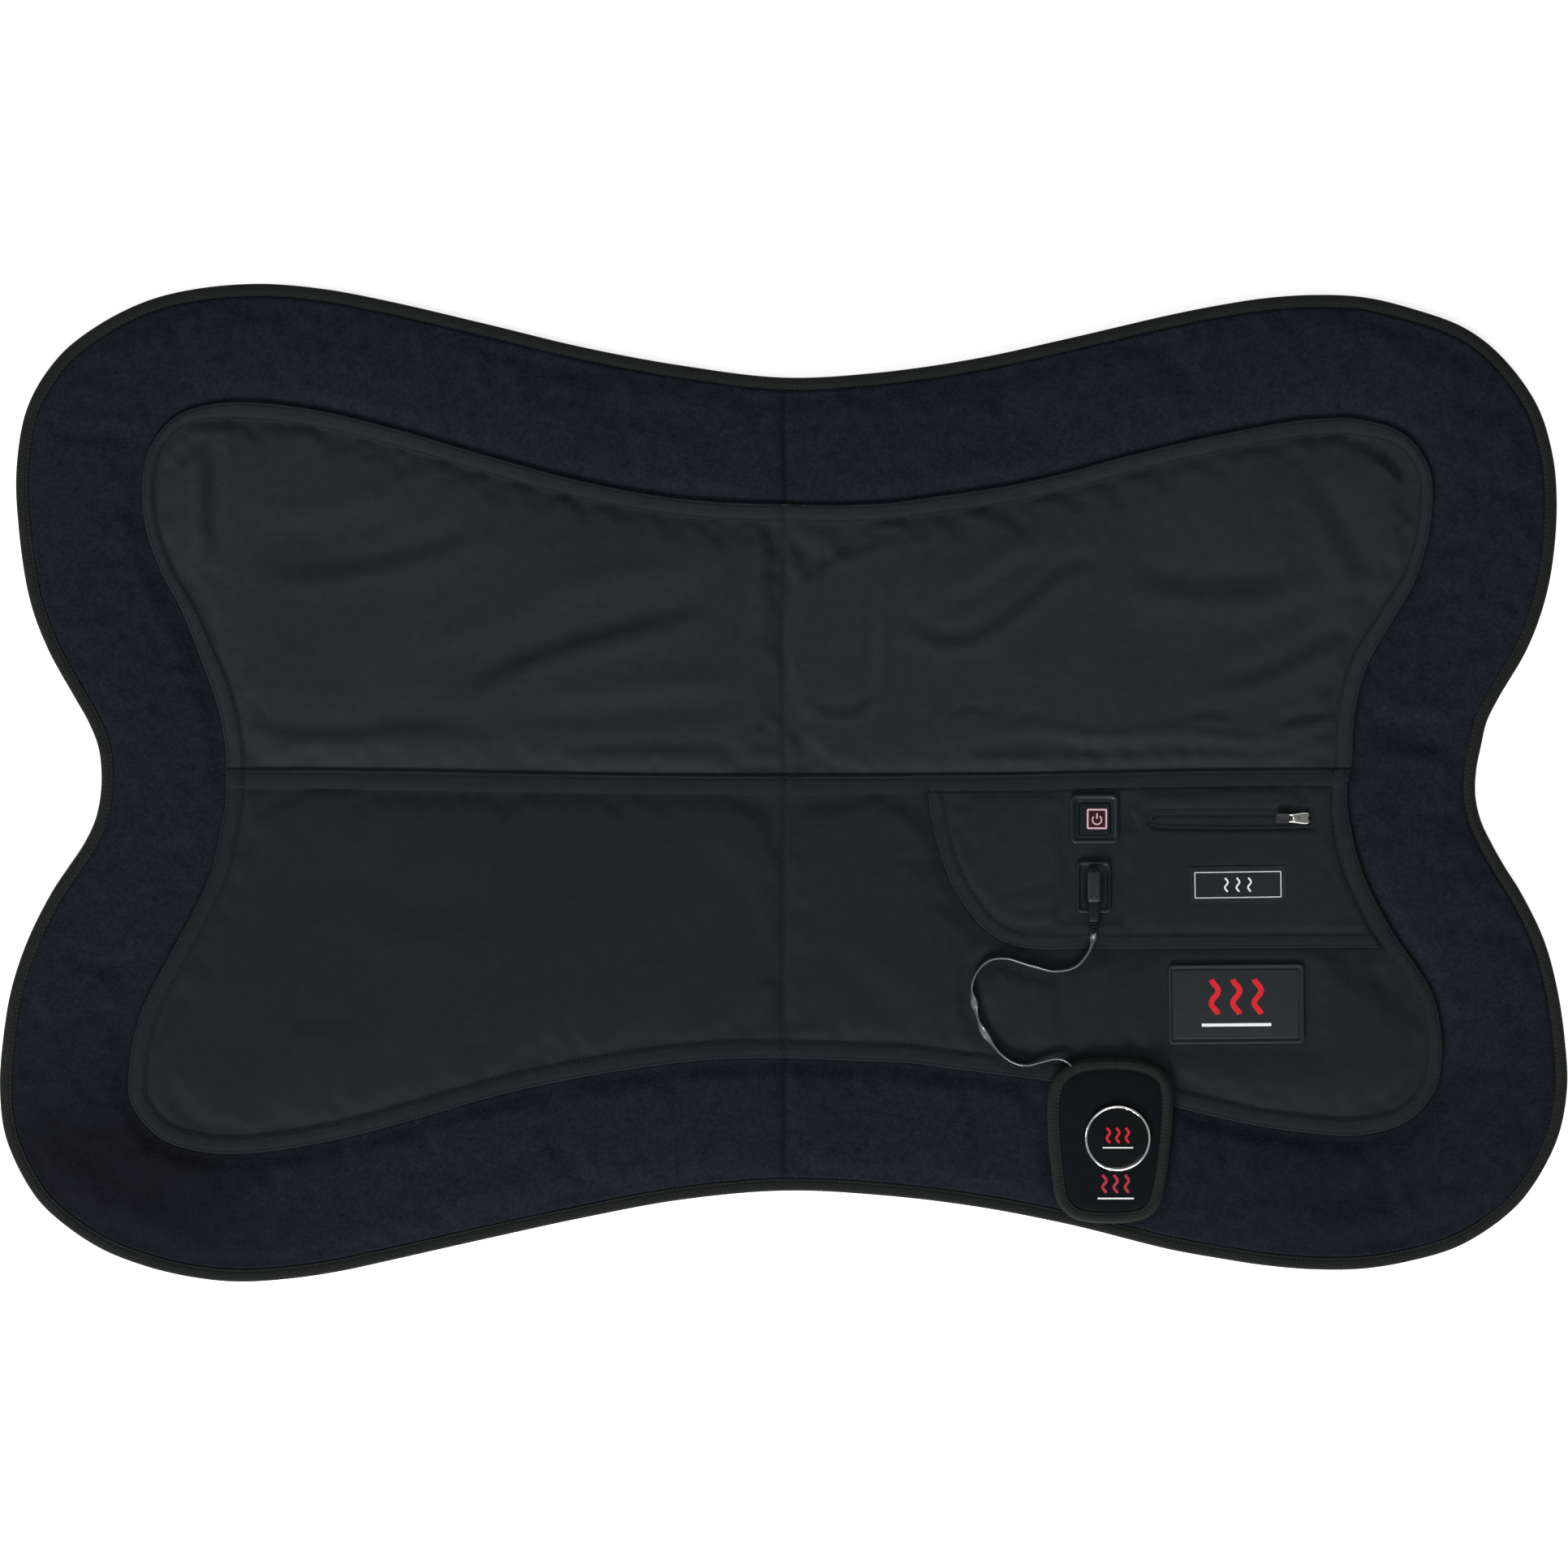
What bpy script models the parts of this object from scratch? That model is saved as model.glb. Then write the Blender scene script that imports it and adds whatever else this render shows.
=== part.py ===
# Butterfly-shaped infrared therapy pad with a small corded hand pad.
# Blender 4.5, metres, +Z up. The pad lies flat, its outer face up, its treatment face on z = 0.
# +X points to the pad's right, where the pocket, the switch and the socket are, +Y to its upper edge.
# The origin is the middle of the outline, on the surface that the pad lies on.
# The pad is split at x = 0 into two halves that a fold line joins.

import bpy
import bmesh
import math
from mathutils import Vector

# ----------------------------------------------------------------------------- driving dimensions, mm
GAP = 0.3              # clearance between neighbouring pieces
FOLD_GAP = 0.3         # each half stops this far from the fold line
FOLD_AXIS_Z = 10.0     # height of the fold axis, above every sewn layer

T_LINING = 0.8         # treatment-side lining, z 0 to 0.8
Z_CORE = (1.1, 6.6)    # border fabric and centre foam
Z_COVER = (6.9, 7.6)   # woven cover panels
Z_POCKET = (7.9, 8.6)  # pocket panel on the lower right cover panel

BIND_W = 7.4           # width of the edge binding
BIND_T = 0.7           # its tape thickness
BIND_H = 7.6           # its outside height
HEM_LAP = 16.0         # how far the cover laps over the border fabric
SEAM_Y = -3.7          # where upper and lower cover panels meet

STEP_OUTER = 17.0      # facet length along the long outlines
STEP_INNER = 15.0

PUCK_C = (201.7, -214.7)
PUCK_R = 19.9

# ----------------------------------------------------------------------------- outlines, mm
# Outer edge of the pad, from the top of the fold line, anticlockwise.
EDGE = [
    (0, 245.3), (-61.7, 252.6), (-120.8, 263.5), (-179.8, 277.7), (-238.9, 291.5), (-278.2, 298.9),
    (-317.6, 302.1), (-356.9, 298.9), (-386.4, 291.5), (-415.9, 276.7), (-439.1, 258.1),
    (-457.8, 228.5), (-464.8, 192.0), (-463.7, 154.7), (-456.8, 110.4), (-446.0, 80.9),
    (-429.7, 51.4), (-421.4, 36.7), (-415.5, 21.9), (-413.5, 7.1), (-414.0, -7.6), (-417.0, -22.4),
    (-423.8, -37.1), (-433.7, -51.9), (-443.5, -66.7), (-458.3, -96.2), (-468.1, -125.7),
    (-473.0, -155.2), (-475.0, -184.7), (-471.6, -214.3), (-458.3, -243.8), (-445.5, -260.0),
    (-415.9, -281.6), (-386.4, -293.5), (-356.9, -300.3), (-329.9, -302.8), (-297.9, -300.8),
    (-268.4, -296.4), (-238.9, -290.0), (-179.8, -276.7), (-120.8, -263.9), (-61.7, -253.1),
    (0, -247.7), (56.3, -250.2), (115.4, -257.1), (174.4, -268.4), (233.4, -283.1), (263.0, -288.5),
    (292.5, -293.0), (322.0, -295.4), (351.5, -294.9), (381.0, -290.0), (410.5, -280.7),
    (440.0, -261.0), (454.8, -243.8), (469.6, -214.7), (475.0, -184.7), (473.5, -155.2),
    (469.1, -125.7), (461.2, -96.2), (446.9, -66.7), (437.6, -51.9), (429.2, -37.1), (422.4, -22.4),
    (419.4, -7.6), (419.9, 7.1), (422.8, 21.9), (426.3, 36.7), (433.7, 51.4), (450.9, 80.9),
    (461.7, 110.4), (467.1, 140.0), (468.7, 172.0), (466.1, 199.0), (456.8, 228.5), (435.2, 258.1),
    (413.0, 275.3), (381.0, 287.1), (351.5, 294.0), (322.0, 295.4), (292.5, 293.5), (263.0, 289.0),
    (233.4, 283.1), (174.4, 269.4), (115.4, 256.6), (56.3, 248.2),
]

# Outer edge of the woven cover, from the left end of the spine seam, over the top, to its right end,
# and back along the bottom.
COVER_TOP = [
    (-337.5, 2.0), (-338.0, 21.0), (-343.0, 47.5), (-354.0, 78.0), (-365.0, 105.5), (-376.5, 127.0),
    (-386.5, 155.5), (-388.5, 180.5), (-384.0, 203.0), (-369.0, 221.5), (-347.0, 229.5),
    (-319.5, 230.5), (-278.0, 225.0), (-229.5, 213.0), (-180.0, 198.5), (-130.5, 185.0),
    (-85.0, 175.5), (-42.0, 170.5), (0, 169.0), (36.5, 168.5), (66.0, 170.0), (95.5, 174.0),
    (135.0, 180.0), (169.5, 187.5), (204.0, 197.0), (259.0, 210.0), (307.0, 219.0), (328.5, 221.0),
    (349.0, 220.5), (376.5, 211.0), (391.5, 190.0), (392.5, 161.0), (383.5, 125.0), (369.5, 99.5),
    (353.0, 70.0), (346.0, 41.0), (344.5, 14.0),
]
COVER_BOTTOM = [
    (341.5, -5.0), (344.0, -28.0), (352.0, -57.0), (370.0, -91.5), (384.5, -112.5), (393.5, -128.5),
    (399.0, -155.5), (395.5, -184.0), (378.5, -204.5), (348.5, -213.5), (318.0, -212.0),
    (283.0, -207.0), (235.5, -196.0), (199.0, -187.0), (164.5, -181.0), (129.0, -176.5),
    (101.5, -173.0), (74.0, -169.5), (46.5, -168.5), (0, -166.7), (-32.0, -167.0), (-59.5, -169.0),
    (-115.0, -177.0), (-170.0, -188.5), (-222.5, -203.5), (-264.0, -214.5), (-303.0, -222.0),
    (-330.5, -224.7), (-355.0, -223.0), (-378.5, -214.5), (-395.5, -193.0), (-396.0, -168.5),
    (-388.5, -136.5), (-372.0, -104.0), (-357.0, -76.0), (-346.5, -52.5), (-341.0, -28.0),
    (-338.0, -10.0),
]

# Pocket panel: the curved flap edge, and the stitched edge along the cover's hem.
POCKET_FLAP = [
    (87.3, -4.2), (89.3, -19.4), (93.7, -39.1), (100.6, -58.3), (110.9, -76.0), (123.2, -89.8),
    (137.5, -97.7), (153.3, -100.6), (171.0, -100.6),
]
POCKET_HEM = [
    (361.5, -99.8), (352.0, -82.9), (344.6, -67.6), (337.7, -51.4), (333.8, -36.2), (332.3, -23.4),
    (332.0, -10.1), (332.4, -4.2),
]

# Hand pad, anticlockwise from the middle of its top edge.
HAND_EDGE = [
    (201.0, -166.5), (186.2, -167.0), (176.4, -169.0), (168.0, -173.9), (162.6, -180.8),
    (160.1, -190.1), (159.7, -199.5), (160.1, -214.3), (162.1, -233.9), (164.6, -251.1),
    (168.0, -257.5), (174.4, -263.0), (184.2, -265.7), (197.0, -266.4), (209.8, -265.7),
    (219.7, -263.0), (225.6, -257.5), (229.0, -249.2), (232.0, -233.9), (233.9, -216.7),
    (235.4, -199.5), (234.9, -186.2), (232.5, -178.3), (226.1, -171.9), (216.2, -168.0),
]

# Route of the flat cable from the plug's strain relief to the hand pad: x, y, height of its middle.
CABLE = [
    (187.7, -90.6, 12.0), (186.7, -95.7, 11.8), (184.6, -102.0, 11.3), (176.9, -110.9, 10.6),
    (164.6, -113.9, 10.4), (149.8, -110.9, 10.4), (135.0, -106.5, 10.4), (124.2, -107.5, 10.4),
    (117.3, -114.4, 10.4), (113.9, -124.2, 10.4), (115.4, -133.6, 10.4), (118.8, -146.4, 10.4),
    (125.2, -156.7, 10.4), (132.1, -164.9, 10.4), (140.0, -169.8, 10.5), (147.3, -171.0, 10.8),
    (155.7, -168.9, 11.4), (163.6, -166.9, 12.0), (168.6, -167.2, 12.3), (171.4, -168.6, 12.4),
]

# LED strips: name, centre, size along X and Y.
STRIPS = [
    ("upper_right_inner", (95, 75), (110, 28)), ("upper_right_outer", (250, 140), (120, 28)),
    ("lower_right_inner", (95, -75), (110, 28)), ("lower_right_outer", (250, -140), (120, 28)),
    ("upper_left_inner", (-95, 75), (110, 28)), ("upper_left_outer", (-250, 140), (120, 28)),
    ("lower_left_inner", (-95, -75), (110, 28)), ("lower_left_outer", (-250, -140), (120, 28)),
]

# Well in the foam and lower cover for the control box and the battery: x0, x1, y0, y1.
WELL = (168.6, 308.4, -91.0, -6.6)


# ----------------------------------------------------------------------------- scene and helpers
for old in list(bpy.data.objects):
    bpy.data.objects.remove(old, do_unlink=True)

PAD = bpy.data.collections.new("infrared_pad")
CUTTERS = bpy.data.collections.new("cutters")
bpy.context.scene.collection.children.link(PAD)
bpy.context.scene.collection.children.link(CUTTERS)

MATERIALS = {}


def material(name, color, roughness, metallic=0.0):
    if name not in MATERIALS:
        mat = bpy.data.materials.new(name)
        mat.use_nodes = True
        shader = mat.node_tree.nodes["Principled BSDF"]
        shader.inputs["Base Color"].default_value = (*color, 1.0)
        shader.inputs["Roughness"].default_value = roughness
        shader.inputs["Metallic"].default_value = metallic
        mat.diffuse_color = (*color, 1.0)
        MATERIALS[name] = mat
    return MATERIALS[name]


LOOP = material("loop_fabric", (0.011, 0.014, 0.022), 0.95)
WOVEN = material("woven_cover", (0.020, 0.025, 0.027), 0.85)
TAPE = material("binding_tape", (0.012, 0.012, 0.013), 0.80)
LINING = material("lining_fabric", (0.020, 0.020, 0.022), 0.80)
FOAM = material("foam", (0.10, 0.10, 0.11), 0.95)
CLEAR = material("clear_film", (0.80, 0.80, 0.82), 0.15)
BOARD = material("circuit_board", (0.60, 0.60, 0.58), 0.45)
CASE = material("case_plastic", (0.020, 0.020, 0.022), 0.45)
SOFT_BLACK = material("soft_plastic", (0.014, 0.014, 0.015), 0.55)
LIGHT = material("light_guide", (0.90, 0.25, 0.25), 0.35)
STEEL = material("plug_steel", (0.60, 0.60, 0.60), 0.30, 1.0)
CHROME = material("chrome", (0.75, 0.75, 0.76), 0.12, 1.0)
CABLE_MAT = material("cable_jacket", (0.012, 0.012, 0.013), 0.25)
WIRE = material("wire_ribbon", (0.25, 0.03, 0.03), 0.50)
CELL = material("battery_wrap", (0.05, 0.10, 0.22), 0.40)
LABEL = material("woven_label", (0.010, 0.010, 0.011), 0.70)
PATCH = material("rubber_patch", (0.018, 0.019, 0.021), 0.50)
GLOSS = material("puck_gloss", (0.008, 0.008, 0.009), 0.10)
PULL = material("puller_rubber", (0.10, 0.10, 0.11), 0.60)


def centripetal(points, closed, step):
    """Centripetal Catmull-Rom curve through the points, cut into pieces of equal length."""
    pts = [Vector(p) for p in points]
    n = len(pts)
    dense = []
    spans = n if closed else n - 1
    for i in range(spans):
        if closed:
            p0, p1, p2, p3 = pts[i - 1], pts[i], pts[(i + 1) % n], pts[(i + 2) % n]
        else:
            p1, p2 = pts[i], pts[i + 1]
            p0 = pts[i - 1] if i > 0 else p1 * 2 - p2
            p3 = pts[i + 2] if i + 2 < n else p2 * 2 - p1
        t1 = (p1 - p0).length ** 0.5
        t2 = t1 + (p2 - p1).length ** 0.5
        t3 = t2 + (p3 - p2).length ** 0.5
        for k in range(12):
            t = t1 + (t2 - t1) * k / 12
            a1 = p0 * ((t1 - t) / t1) + p1 * (t / t1)
            a2 = p1 * ((t2 - t) / (t2 - t1)) + p2 * ((t - t1) / (t2 - t1))
            a3 = p2 * ((t3 - t) / (t3 - t2)) + p3 * ((t - t2) / (t3 - t2))
            b1 = a1 * ((t2 - t) / t2) + a2 * (t / t2)
            b2 = a2 * ((t3 - t) / (t3 - t1)) + a3 * ((t - t1) / (t3 - t1))
            dense.append(b1 * ((t2 - t) / (t2 - t1)) + b2 * ((t - t1) / (t2 - t1)))
    dense.append(pts[0].copy() if closed else pts[-1].copy())
    lengths = [0.0]
    for a, b in zip(dense, dense[1:]):
        lengths.append(lengths[-1] + (b - a).length)
    count = max(3, int(round(lengths[-1] / step)))
    out, j = [], 0
    for k in range(count + (0 if closed else 1)):
        s = lengths[-1] * k / count
        while j < len(lengths) - 2 and lengths[j + 1] < s:
            j += 1
        f = (s - lengths[j]) / max(1e-9, lengths[j + 1] - lengths[j])
        out.append(dense[j].lerp(dense[j + 1], f))
    return out


def area(loop):
    return 0.5 * sum(a.x * b.y - b.x * a.y for a, b in zip(loop, loop[1:] + loop[:1]))


def anticlockwise(loop):
    return loop if area(loop) > 0 else loop[::-1]


def inset(loop, distance):
    """The loop moved inwards by the distance, corner by corner."""
    loop = anticlockwise(loop)
    out = []
    n = len(loop)
    for i in range(n):
        before = (loop[i] - loop[i - 1]).normalized()
        after = (loop[(i + 1) % n] - loop[i]).normalized()
        tangent = (before + after).normalized()
        inward = Vector((-tangent.y, tangent.x))
        out.append(loop[i] + inward * distance / max(0.6, before.dot(tangent)))
    return out


def clip(loop, axis, limit, keep):
    """The part of the loop where its coordinate is above (keep 1) or below (keep -1) the limit."""
    out = []
    n = len(loop)
    for i in range(n):
        a, b = loop[i], loop[(i + 1) % n]
        ina = (a[axis] - limit) * keep >= 0
        inb = (b[axis] - limit) * keep >= 0
        if ina:
            out.append(a)
        if ina != inb:
            out.append(a.lerp(b, (limit - a[axis]) / (b[axis] - a[axis])))
    clean = []
    for p in out:
        if not clean or (p - clean[-1]).length > 0.4:
            clean.append(p)
    if (clean[0] - clean[-1]).length <= 0.4:
        clean.pop()
    return clean


def half(loop, side):
    return clip(loop, 0, FOLD_GAP * side, side)


def rect(cx, cy, sx, sy, r=0.0, k=3):
    if r <= 0:
        return [Vector((cx + a * sx / 2, cy + b * sy / 2)) for a, b in ((-1, -1), (1, -1), (1, 1), (-1, 1))]
    out = []
    for a, b, start in ((1, 1, 0), (-1, 1, 90), (-1, -1, 180), (1, -1, 270)):
        for i in range(k + 1):
            t = math.radians(start + 90 * i / k)
            out.append(Vector((cx + a * (sx / 2 - r) + r * math.cos(t), cy + b * (sy / 2 - r) + r * math.sin(t))))
    return out


def disc(cx, cy, r, n):
    return [Vector((cx + r * math.cos(2 * math.pi * i / n), cy + r * math.sin(2 * math.pi * i / n))) for i in range(n)]


def flat(name, loops, z0, z1, mat, cutter=False):
    """A sheet cut to the first loop, with the others as holes."""
    data = bpy.data.curves.new(name, "CURVE")
    data.dimensions = "2D"
    data.fill_mode = "BOTH"
    data.extrude = (z1 - z0) / 2000.0
    data.render_resolution_u = 0
    for loop in loops:
        spline = data.splines.new("POLY")
        spline.points.add(len(loop) - 1)
        for point, xy in zip(spline.points, loop):
            point.co = (xy[0] / 1000.0, xy[1] / 1000.0, 0.0, 1.0)
        spline.use_cyclic_u = True
    obj = bpy.data.objects.new(name, data)
    obj.location.z = (z0 + z1) / 2000.0
    place(obj, mat, cutter)
    return obj


def place(obj, mat, cutter=False):
    if cutter:
        obj.hide_render = True
        obj.display_type = "WIRE"
        CUTTERS.objects.link(obj)
    else:
        if mat is not None:
            obj.data.materials.append(mat)
        PAD.objects.link(obj)
    return obj


def as_mesh(obj, cutter=False):
    """Turns a curve object into a welded mesh object of the same name."""
    bpy.context.view_layer.update()
    evaluated = obj.evaluated_get(bpy.context.evaluated_depsgraph_get())
    mesh = bpy.data.meshes.new_from_object(evaluated)
    mats = [m for m in obj.data.materials if m]
    bm = bmesh.new()
    bm.from_mesh(mesh)
    bmesh.ops.remove_doubles(bm, verts=bm.verts, dist=1e-6)
    bmesh.ops.recalc_face_normals(bm, faces=bm.faces)
    bm.to_mesh(mesh)
    bm.free()
    name, matrix = obj.name, obj.matrix_world.copy()
    bpy.data.objects.remove(obj, do_unlink=True)
    mesh.materials.clear()
    new = bpy.data.objects.new(name, mesh)
    new.matrix_world = matrix
    place(new, mats[0] if mats else None, cutter)
    return new


def sheet(name, loops, z0, z1, mat, cutter=False):
    return as_mesh(flat(name, loops, z0, z1, mat, cutter), cutter)


def box(name, x0, x1, y0, y1, z0, z1, mat=None, cutter=False, bevel=0.0):
    bm = bmesh.new()
    bmesh.ops.create_cube(bm, size=1.0)
    for v in bm.verts:
        v.co = Vector(((x0 + x1) / 2 + v.co.x * (x1 - x0), (y0 + y1) / 2 + v.co.y * (y1 - y0),
                       (z0 + z1) / 2 + v.co.z * (z1 - z0))) / 1000.0
    mesh = bpy.data.meshes.new(name)
    bm.to_mesh(mesh)
    bm.free()
    obj = bpy.data.objects.new(name, mesh)
    place(obj, mat, cutter)
    if bevel:
        mod = obj.modifiers.new("edge", "BEVEL")
        mod.width = bevel / 1000.0
        mod.segments = 1
        mod.limit_method = "ANGLE"
    return obj


def rod(name, centre, r, length, axis, n=16, mat=None, cutter=False):
    bm = bmesh.new()
    bmesh.ops.create_cone(bm, cap_ends=True, segments=n, radius1=r / 1000.0, radius2=r / 1000.0,
                          depth=length / 1000.0)
    mesh = bpy.data.meshes.new(name)
    bm.to_mesh(mesh)
    bm.free()
    obj = bpy.data.objects.new(name, mesh)
    obj.location = Vector(centre) / 1000.0
    if axis == "X":
        obj.rotation_euler = (0, math.pi / 2, 0)
    elif axis == "Y":
        obj.rotation_euler = (math.pi / 2, 0, 0)
    place(obj, mat, cutter)
    return obj


def boolean(obj, others, operation):
    for other in others:
        mod = obj.modifiers.new(operation.lower() + "_" + other.name, "BOOLEAN")
        mod.operation = operation
        mod.solver = "EXACT"
        mod.object = other
    return obj


def cut(obj, *others):
    return boolean(obj, others, "DIFFERENCE")


def join(obj, *others):
    return boolean(obj, others, "UNION")


def turned(name, centre, profile, segments, mat):
    """A turned piece: the profile's radius and height, run down its outer side, top to bottom."""
    mesh = bpy.data.meshes.new(name)
    bm = bmesh.new()
    verts = [bm.verts.new((r / 1000.0, 0.0, z / 1000.0)) for r, z in profile]
    for a, b in zip(verts, verts[1:]):
        bm.edges.new((a, b))
    if profile[0][0] > 0 and profile[-1][0] > 0:
        bm.edges.new((verts[-1], verts[0]))
    bm.to_mesh(mesh)
    bm.free()
    obj = bpy.data.objects.new(name, mesh)
    obj.location = (centre[0] / 1000.0, centre[1] / 1000.0, 0.0)
    screw = obj.modifiers.new("turn", "SCREW")
    screw.steps = segments
    screw.render_steps = segments
    screw.use_merge_vertices = True
    screw.merge_threshold = 0.00002
    screw.use_smooth_shade = True
    place(obj, mat)
    return obj


# ----------------------------------------------------------------------------- long outlines
edge = anticlockwise(centripetal(EDGE, True, STEP_OUTER))
cover_edge = anticlockwise(centripetal(COVER_TOP + COVER_BOTTOM, True, STEP_INNER))

# The outline is moved so that its box is centred on the origin.
SHIFT = Vector(((min(p.x for p in edge) + max(p.x for p in edge)) / 2,
                (min(p.y for p in edge) + max(p.y for p in edge)) / 2))
edge = [p - SHIFT for p in edge]
# The fine pieces keep their listed places: the shift is well under a millimetre.

strips_right = [s for s in STRIPS if s[1][0] > 0]
strips_left = [s for s in STRIPS if s[1][0] < 0]

# ----------------------------------------------------------------------------- lining and windows
lining_edge = inset(edge, BIND_W + GAP)
for side, word, strips in ((1, "right", strips_right), (-1, "left", strips_left)):
    holes = [rect(c[0], c[1], s[0] + 0.6, s[1] + 0.6, 5.0, 2) for _, c, s in strips]
    flat("lining_" + word, [half(lining_edge, side)] + holes, 0.0, T_LINING, LINING)
for name, c, s in STRIPS:
    flat("window_" + name, [rect(c[0], c[1], s[0], s[1], 4.7, 2)], 0.1, 0.8, CLEAR)

# ----------------------------------------------------------------------------- border fabric ring
core_edge = inset(edge, BIND_T + GAP)
foam_limit = inset(cover_edge, HEM_LAP)
foam_edge = inset(cover_edge, HEM_LAP + GAP)
for side, word in ((1, "right"), (-1, "left")):
    outer = half(core_edge, side)
    inner = half(foam_limit, side)
    # one band that runs from the top of the fold line round to its bottom
    top_o = max(range(len(outer)), key=lambda i: outer[i].y - 4 * abs(outer[i].x))
    outer = outer[top_o:] + outer[:top_o]
    top_i = max(range(len(inner)), key=lambda i: inner[i].y - 4 * abs(inner[i].x))
    inner = inner[top_i:] + inner[:top_i]
    if side > 0:
        # anticlockwise, so on the right half the loop leaves the top along the fold line downwards
        outer = outer[1:] + outer[:1]
        inner = inner[1:] + inner[:1]
    flat("border_" + word, [outer + inner[::-1]], Z_CORE[0], Z_CORE[1], LOOP)

# ----------------------------------------------------------------------------- centre foam
well = rect((WELL[0] + WELL[1]) / 2, (WELL[2] + WELL[3]) / 2, WELL[1] - WELL[0], WELL[3] - WELL[2])
for side, word, strips in ((1, "right", strips_right), (-1, "left", strips_left)):
    loops = [half(foam_edge, side)]
    if side > 0:
        loops.append(well)
    foam = sheet("foam_" + word, loops, Z_CORE[0], Z_CORE[1], FOAM)
    tools = []
    for name, c, s in strips:
        tools.append(sheet("pit_" + name, [rect(c[0], c[1], s[0] + 0.6, s[1] + 0.6)], 0.5, 3.2, None, True))
    # channel for the wire ribbon, open to the lining
    e = 0.3
    x0, x1 = 158.0 - e, 162.0 + e
    trunk = box("channel_spine_" + word, *sorted((side * x0, side * x1)), -142 - e, 142 + e, 0.4, 5.0, None, True)
    tools.append(trunk)
    for tag, y, xa, xb in (("fold", 12, -1.0, 158.4), ("upper_in", 75, 140.0, 158.4), ("lower_in", -75, 140.0, 158.4),
                           ("upper_out", 140, 161.6, 201.0), ("lower_out", -140, 161.6, 201.0)):
        xs = sorted((side * xa, side * xb))
        tools.append(box("channel_%s_%s" % (tag, word), xs[0], xs[1], y - 2 - e, y + 2 + e, 0.3, 5.0, None, True))
    if side > 0:
        tools.append(box("channel_box", 161.6, 169.5, -22 - e, -18 + e, 0.3, 5.0, None, True))
    cut(foam, *tools)

# ----------------------------------------------------------------------------- edge binding
profile = bpy.data.curves.new("binding_profile", "CURVE")
profile.dimensions = "2D"
profile.render_resolution_u = 0
shape = [(0, 0), (BIND_W, 0), (BIND_W, BIND_T), (BIND_T, BIND_T), (BIND_T, BIND_H - BIND_T),
         (BIND_W, BIND_H - BIND_T), (BIND_W, BIND_H), (0, BIND_H)]
spline = profile.splines.new("POLY")
spline.points.add(len(shape) - 1)
for point, (u, v) in zip(spline.points, shape):
    point.co = (u / 1000.0, v / 1000.0, 0.0, 1.0)
spline.use_cyclic_u = True
profile_obj = bpy.data.objects.new("binding_profile", profile)
place(profile_obj, None, True)

for side, word in ((1, "right"), (-1, "left")):
    data = bpy.data.curves.new("binding_" + word, "CURVE")
    data.dimensions = "2D"
    data.render_resolution_u = 0
    data.bevel_mode = "OBJECT"
    data.bevel_object = profile_obj
    spline = data.splines.new("POLY")
    spline.points.add(len(edge) - 1)
    for point, xy in zip(spline.points, edge):
        point.co = (xy.x / 1000.0, xy.y / 1000.0, 0.0, 1.0)
    spline.use_cyclic_u = True
    ring = bpy.data.objects.new("binding_" + word, data)
    place(ring, TAPE)
    ring = as_mesh(ring)
    xs = (-600, FOLD_GAP) if side > 0 else (-FOLD_GAP, 600)
    cut(ring, box("binding_cut_" + word, xs[0], xs[1], -400, 400, -5, 15, None, True))

# ----------------------------------------------------------------------------- woven cover panels
for side, word in ((1, "right"), (-1, "left")):
    panel = half(cover_edge, side)
    flat("upper_cover_" + word, [clip(panel, 1, SEAM_Y + 0.15, 1)], Z_COVER[0], Z_COVER[1], WOVEN)
    loops = [clip(panel, 1, SEAM_Y - 0.15, -1)]
    if side > 0:
        loops.append(well)
    flat("lower_cover_" + word, loops, Z_COVER[0], Z_COVER[1], WOVEN)

# ----------------------------------------------------------------------------- pocket panel
pocket = centripetal(POCKET_FLAP, False, 9.0) + centripetal(POCKET_HEM, False, 14.0)
pocket = anticlockwise(pocket)
ZIP_X, ZIP_Y = (224.0, 320.0), (-25.2, -17.8)
BUTTON_C = (188.3, -21.9)
SOCKET_C = (187.7, -63.2)
slot = rect(sum(ZIP_X) / 2, sum(ZIP_Y) / 2, ZIP_X[1] - ZIP_X[0], ZIP_Y[1] - ZIP_Y[0])
flat("pocket_panel", [pocket, slot,
                      rect(BUTTON_C[0], BUTTON_C[1], 20.4, 21.2),
                      rect(SOCKET_C[0], SOCKET_C[1], 6.0, 12.4)], Z_POCKET[0], Z_POCKET[1], WOVEN)

# ----------------------------------------------------------------------------- LED strips
for name, c, s in STRIPS:
    strip = box("led_strip_" + name, c[0] - s[0] / 2 + 1, c[0] + s[0] / 2 - 1, c[1] - s[1] / 2 + 1,
                c[1] + s[1] / 2 - 1, 1.9, 2.9, BOARD)
    packages = []
    for i in range(6):
        for j in (-1, 1):
            x = c[0] + (i - 2.5) * (s[0] - 14) / 6.0
            packages.append(box("led_%s_%d_%d" % (name, i, j), x - 1.75, x + 1.75, c[1] + j * 6.5 - 1.4,
                                c[1] + j * 6.5 + 1.4, 1.1, 2.2, None, True))
    join(strip, *packages)

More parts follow.
